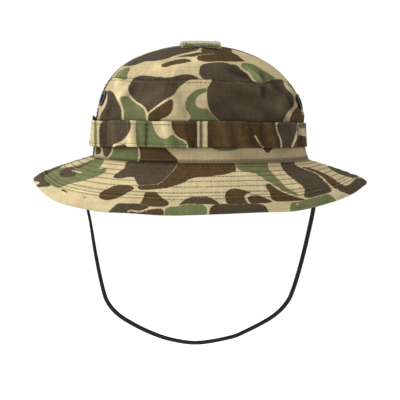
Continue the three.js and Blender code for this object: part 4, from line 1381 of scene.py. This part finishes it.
def patch_backing():
    v, u = grid(np.linspace(-1, 1, 49), np.linspace(-1, 1, 37))
    pull = 1 - 0.06 * (u * v) ** 6
    x = u * pull * (PATCH_WIDTH / 2 - BACKING_INSET)
    y = v * pull * (PATCH_LENGTH / 2 - BACKING_INSET)
    top = np.stack([x, y + PATCH_MIDDLE, pad_height(x, y)], axis=-1)
    bottom = np.stack([x, y + PATCH_MIDDLE, dome_height(x, y + PATCH_MIDDLE) + 0.1], axis=-1)
    mesh = thick_sheet("loop_patch_backing", top, bottom, False)
    # the backing darker all over
    set_field(mesh, "painted_shade_and_wear", np.full(2 * u.size, -0.3))
    mesh.materials.append(TAPE)
    add_object("loop_patch_backing", mesh, "hat", ["loop_patch"])


def pile_spots(chance):
    """Where loops grow and which way: up from the face, and out of the sides."""
    half_width, half_length = PATCH_WIDTH / 2 - PILE_INSET, PATCH_LENGTH / 2 - PILE_INSET
    across = np.arange(-half_width, half_width, LOOP_STEP)
    along = np.arange(-half_length, half_length, LOOP_STEP)
    spots = []
    for x in across:
        for y in along:
            lean = np.array([np.sign(x) * bump(half_width - abs(x), 2),
                             np.sign(y) * bump(half_length - abs(y), 2), 1])
            spots.append((np.array([x, y, pad_height(x, y)]), unit(lean)))
    rim = [(x, side * half_length, 0, side) for side in (-1, 1) for x in across]
    rim += [(side * half_width, y, side, 0) for side in (-1, 1) for y in along]
    for x, y, out_x, out_y in rim:
        foot = dome_height(x, y + PATCH_MIDDLE) + 0.5
        for z in np.arange(foot, pad_height(x, y), LOOP_STEP):
            spots.append((np.array([x, y, z]), unit(np.array([out_x, out_y, 0.25]))))
    return [(spot + [chance.uniform(-0.3, 0.3), chance.uniform(-0.3, 0.3) + PATCH_MIDDLE, 0], up)
            for spot, up in spots]


def patch_pile():
    chance = random.Random(21)
    arch = np.linspace(0, math.pi, 6)
    points, faces, painted_loop_light, first = [], [], [], 0
    for root, up in pile_spots(chance):
        height = LOOP_HEIGHT * chance.uniform(0.75, 1.25)
        heading = chance.uniform(0, math.pi)
        across = unit(np.cross(up, [math.cos(heading), math.sin(heading), 0.3]))
        path = (root + np.cos(arch)[:, None] * LOOP_HALF_WIDTH * across
                + np.sin(arch)[:, None] * height * up)
        beside = np.tile(np.cross(up, across), (len(arch), 1))
        normal = np.cross(frames_along(path), beside)
        ring = tube(path, beside, normal, LOOP_THREAD, LOOP_THREAD, LOOP_SIDES)
        points.append(ring.reshape(-1, 3))
        faces += tube_faces(len(arch), LOOP_SIDES, first)
        # painted light along each loop, from dark at its roots to pale at its top
        painted_loop_light.append(np.repeat(np.sin(arch) * chance.uniform(0.7, 1), LOOP_SIDES))
        first += len(arch) * LOOP_SIDES
    mesh = mesh_from("loop_patch_pile", np.concatenate(points), faces)
    set_field(mesh, "loop", np.concatenate(painted_loop_light))
    mesh.materials.append(PILE)
    add_object("loop_patch_pile", mesh, "hat")


patch_backing()
patch_pile()

# ---- Vents ----
VENT_BORE_RADIUS = 4.3
VENT_BARREL_RADIUS = 4.9
VENT_MOUTH_RADIUS = 3.6
VENT_FLANGE_RADIUS = 7.0
VENT_STEPS = 48
WIRE_RADIUS = 0.18
WIRE_PITCH = 0.72
WIRE_SIDES = 6
SCREEN_RADIUS = 4.0


def ring_mesh(name, profile, place):
    """A body of revolution from a closed profile of (radius, height) pairs."""
    count = len(profile)
    middle, sideways, upward, outward = place
    points = []
    for angle in even_turns(VENT_STEPS):
        spoke = math.cos(angle) * sideways + math.sin(angle) * upward
        points += [middle + radius * spoke + height * outward for radius, height in profile]
    faces = []
    for step in range(VENT_STEPS):
        following = (step + 1) % VENT_STEPS
        for side in range(count):
            beside = (side + 1) % count
            faces.append((step * count + side, step * count + beside,
                          following * count + beside, following * count + side))
    return mesh_from(name, np.array(points), faces)


def arc(centre, radius, start, end, count):
    angles = np.linspace(start, end, count) * DEGREE
    return [(centre[0] + radius * math.cos(a), centre[1] + radius * math.sin(a)) for a in angles]


def eyelet_profile():
    """Flange with a rolled rim, barrel, and a roll set over the washer."""
    rim = arc((VENT_FLANGE_RADIUS - 0.5, 0.5), 0.5, -60, 100, 7)
    mouth = arc((VENT_MOUTH_RADIUS + 0.6, 0.55), 0.55, 80, 200, 7)
    roll = arc((VENT_BARREL_RADIUS + 0.35, -3.55), 0.35, 120, -120, 8)
    return ([(VENT_BARREL_RADIUS, 0.0)] + rim + mouth + [(VENT_BORE_RADIUS, 0.25), (VENT_BORE_RADIUS, -3.6)]
            + roll[::-1] + [(VENT_BARREL_RADIUS, -3.0)])


def washer_profile():
    low, high = -3.05, -2.25
    inner, outer = VENT_BARREL_RADIUS + 0.15, VENT_FLANGE_RADIUS
    return [(inner, low + 0.15), (inner + 0.15, low), (outer - 0.25, low), (outer, low + 0.25),
            (outer, high - 0.2), (outer - 0.2, high), (inner + 0.1, high), (inner, high - 0.1)]


def screen_mesh(name, place):
    """A woven wire screen: wires that pass over and under each other."""
    middle, sideways, upward, outward = place
    points, faces, first = [], [], 0
    offsets = np.arange(-5, 6) * WIRE_PITCH * 0.98
    for direction, aside, phase in ((sideways, upward, 0), (upward, sideways, math.pi)):
        for number, offset in enumerate(offsets):
            if abs(offset) >= SCREEN_RADIUS - 0.2:
                continue
            half = math.sqrt(SCREEN_RADIUS ** 2 - offset ** 2)
            run = np.linspace(-half, half, 22)
            over = WIRE_RADIUS * np.cos(math.pi * run / WIRE_PITCH + math.pi * number + phase)
            path = middle + run[:, None] * direction + offset * aside + (over - 0.1)[:, None] * outward
            forward = frames_along(path)
            beside = unit(np.cross(forward, outward))
            ring = tube(path, beside, np.cross(beside, forward), WIRE_RADIUS, WIRE_RADIUS, WIRE_SIDES)
            points.append(ring.reshape(-1, 3))
            faces += tube_faces(len(run), WIRE_SIDES, first)
            first += len(run) * WIRE_SIDES
    return mesh_from(name, np.concatenate(points), faces)


for side, vent_angle in VENTS.items():
    place = vent_frame(vent_angle)
    for part, mesh in (
            ("eyelet", ring_mesh(f"eyelet_ring_{side}", eyelet_profile(), place)),
            ("washer", ring_mesh(f"washer_ring_{side}", washer_profile(), place)),
            ("screen", screen_mesh(f"screen_wire_{side}", place))):
        mesh.materials.append(METAL)
        add_object(mesh.name, mesh, "hat", [f"vent_{part}_{side}"])

# ---- Cord tabs: a tape folded in two under the wall, with the cord's end sewn in ----
TAB_WIDTH = 10
TAB_LOW = -7.4
TAB_HIGH = 0.15
TAB_CLOTH = 4
TAB_FACE_X = CORD_EXIT_X - 0.5
TAB_FLAT_STEPS = 9
TAB_STITCH_POINTS = 12


def cord_tab(side):
    hand = "left" if side < 0 else "right"
    half = TAB_CLOTH / 2
    centre = side * (TAB_FACE_X - half)
    fold = np.linspace(0, math.pi, 13)
    heights = np.linspace(TAB_HIGH, TAB_LOW + half, TAB_FLAT_STEPS)
    face = np.full(TAB_FLAT_STEPS, half)
    out = np.concatenate([face, half * np.cos(fold)[1:-1], -face])
    down = np.concatenate([heights, TAB_LOW + half - half * np.sin(fold)[1:-1], heights[::-1]])
    across = np.linspace(-TAB_WIDTH / 2, TAB_WIDTH / 2, 21)
    x, y = grid(out, across)
    z, _ = grid(down, across)
    nearness = TAB_WIDTH / 2 - np.abs(y)
    thin = 1 - 0.25 * bump(nearness, 0.8)
    top = np.stack([centre + x * thin, y, z], axis=-1)
    inner = np.clip(np.abs(x) - 1.5, 0.15, None) * np.sign(x)
    bottom = np.stack([centre + inner, y, np.maximum(z, TAB_LOW + 1.6)], axis=-1)
    plan = np.stack([y + 60, z + 40 * side], axis=-1)
    dress_cloth(f"cord_tab_tape_{hand}", top, bottom, False, plan, None, 23 + side,
                # darker along a strip just in from each long edge
                painted_shade_and_wear=-0.3 * bump(nearness - 1.2, 0.5), replaces=[f"cord_tab_{hand}"])


cord_tab(-1)
cord_tab(1)
tab_lines = []
for tab_side in (-1, 1):
    for tab_edge in (-3.6, 3.6):
        run = np.linspace(TAB_HIGH - 1.2, TAB_LOW + 1.8, TAB_STITCH_POINTS)
        tab_path = np.stack(np.broadcast_arrays(tab_side * TAB_FACE_X, tab_edge, run), axis=1)
        tab_lines.append((tab_path, np.tile([float(tab_side), 0, 0], (TAB_STITCH_POINTS, 1))))
stitches("cord_tab_stitching", tab_lines, radius=0.2, length=1.1, pitch=1.5)

# ---- Stage: a pale floor, far enough down for the cord to hang free ----
FLOOR_DROP = 0.22
FLOOR_SIZE = 40
FLOOR_COLOR = (0.97, 0.97, 0.97, 1)
BACKDROP_STRENGTH = 1.03
HAT_MIDDLE = (0, 0, 0.02)
bpy.ops.mesh.primitive_plane_add(size=FLOOR_SIZE, location=(0, 0, CAD_BOX[0][2] - FLOOR_DROP))
floor = bpy.context.object
floor.name = "floor"
floor_shader = Shader("floor_paper", roughness=0.9, specular=0.0)
floor.data.materials.append(floor_shader.finish(FLOOR_COLOR))

world = bpy.data.worlds.new("studio")
world.use_nodes = True
world.node_tree.nodes["Background"].inputs[0].default_value = (1, 1, 1, 1)
world.node_tree.nodes["Background"].inputs[1].default_value = BACKDROP_STRENGTH
bpy.context.scene.world = world
bpy.context.scene.view_settings.view_transform = "Standard"


def softbox(name, place, aim, size, power):
    data = bpy.data.lights.new(name, "AREA")
    data.shape = "RECTANGLE"
    data.size, data.size_y = size
    data.energy = power
    light = bpy.data.objects.new(name, data)
    light.location = place
    light.rotation_euler = (Vector(aim) - Vector(place)).to_track_quat("-Z", "Y").to_euler()
    bpy.context.scene.collection.objects.link(light)


softbox("key_left", (-1.6, -0.85, 1.6), HAT_MIDDLE, (1.0, 1.0), 43)
softbox("rim_left", (-1.8, 0.5, 0.5), HAT_MIDDLE, (0.8, 1.2), 18)
softbox("top", (0.1, 0.1, 1.9), (0, 0, 0), (1.4, 1.4), 17)
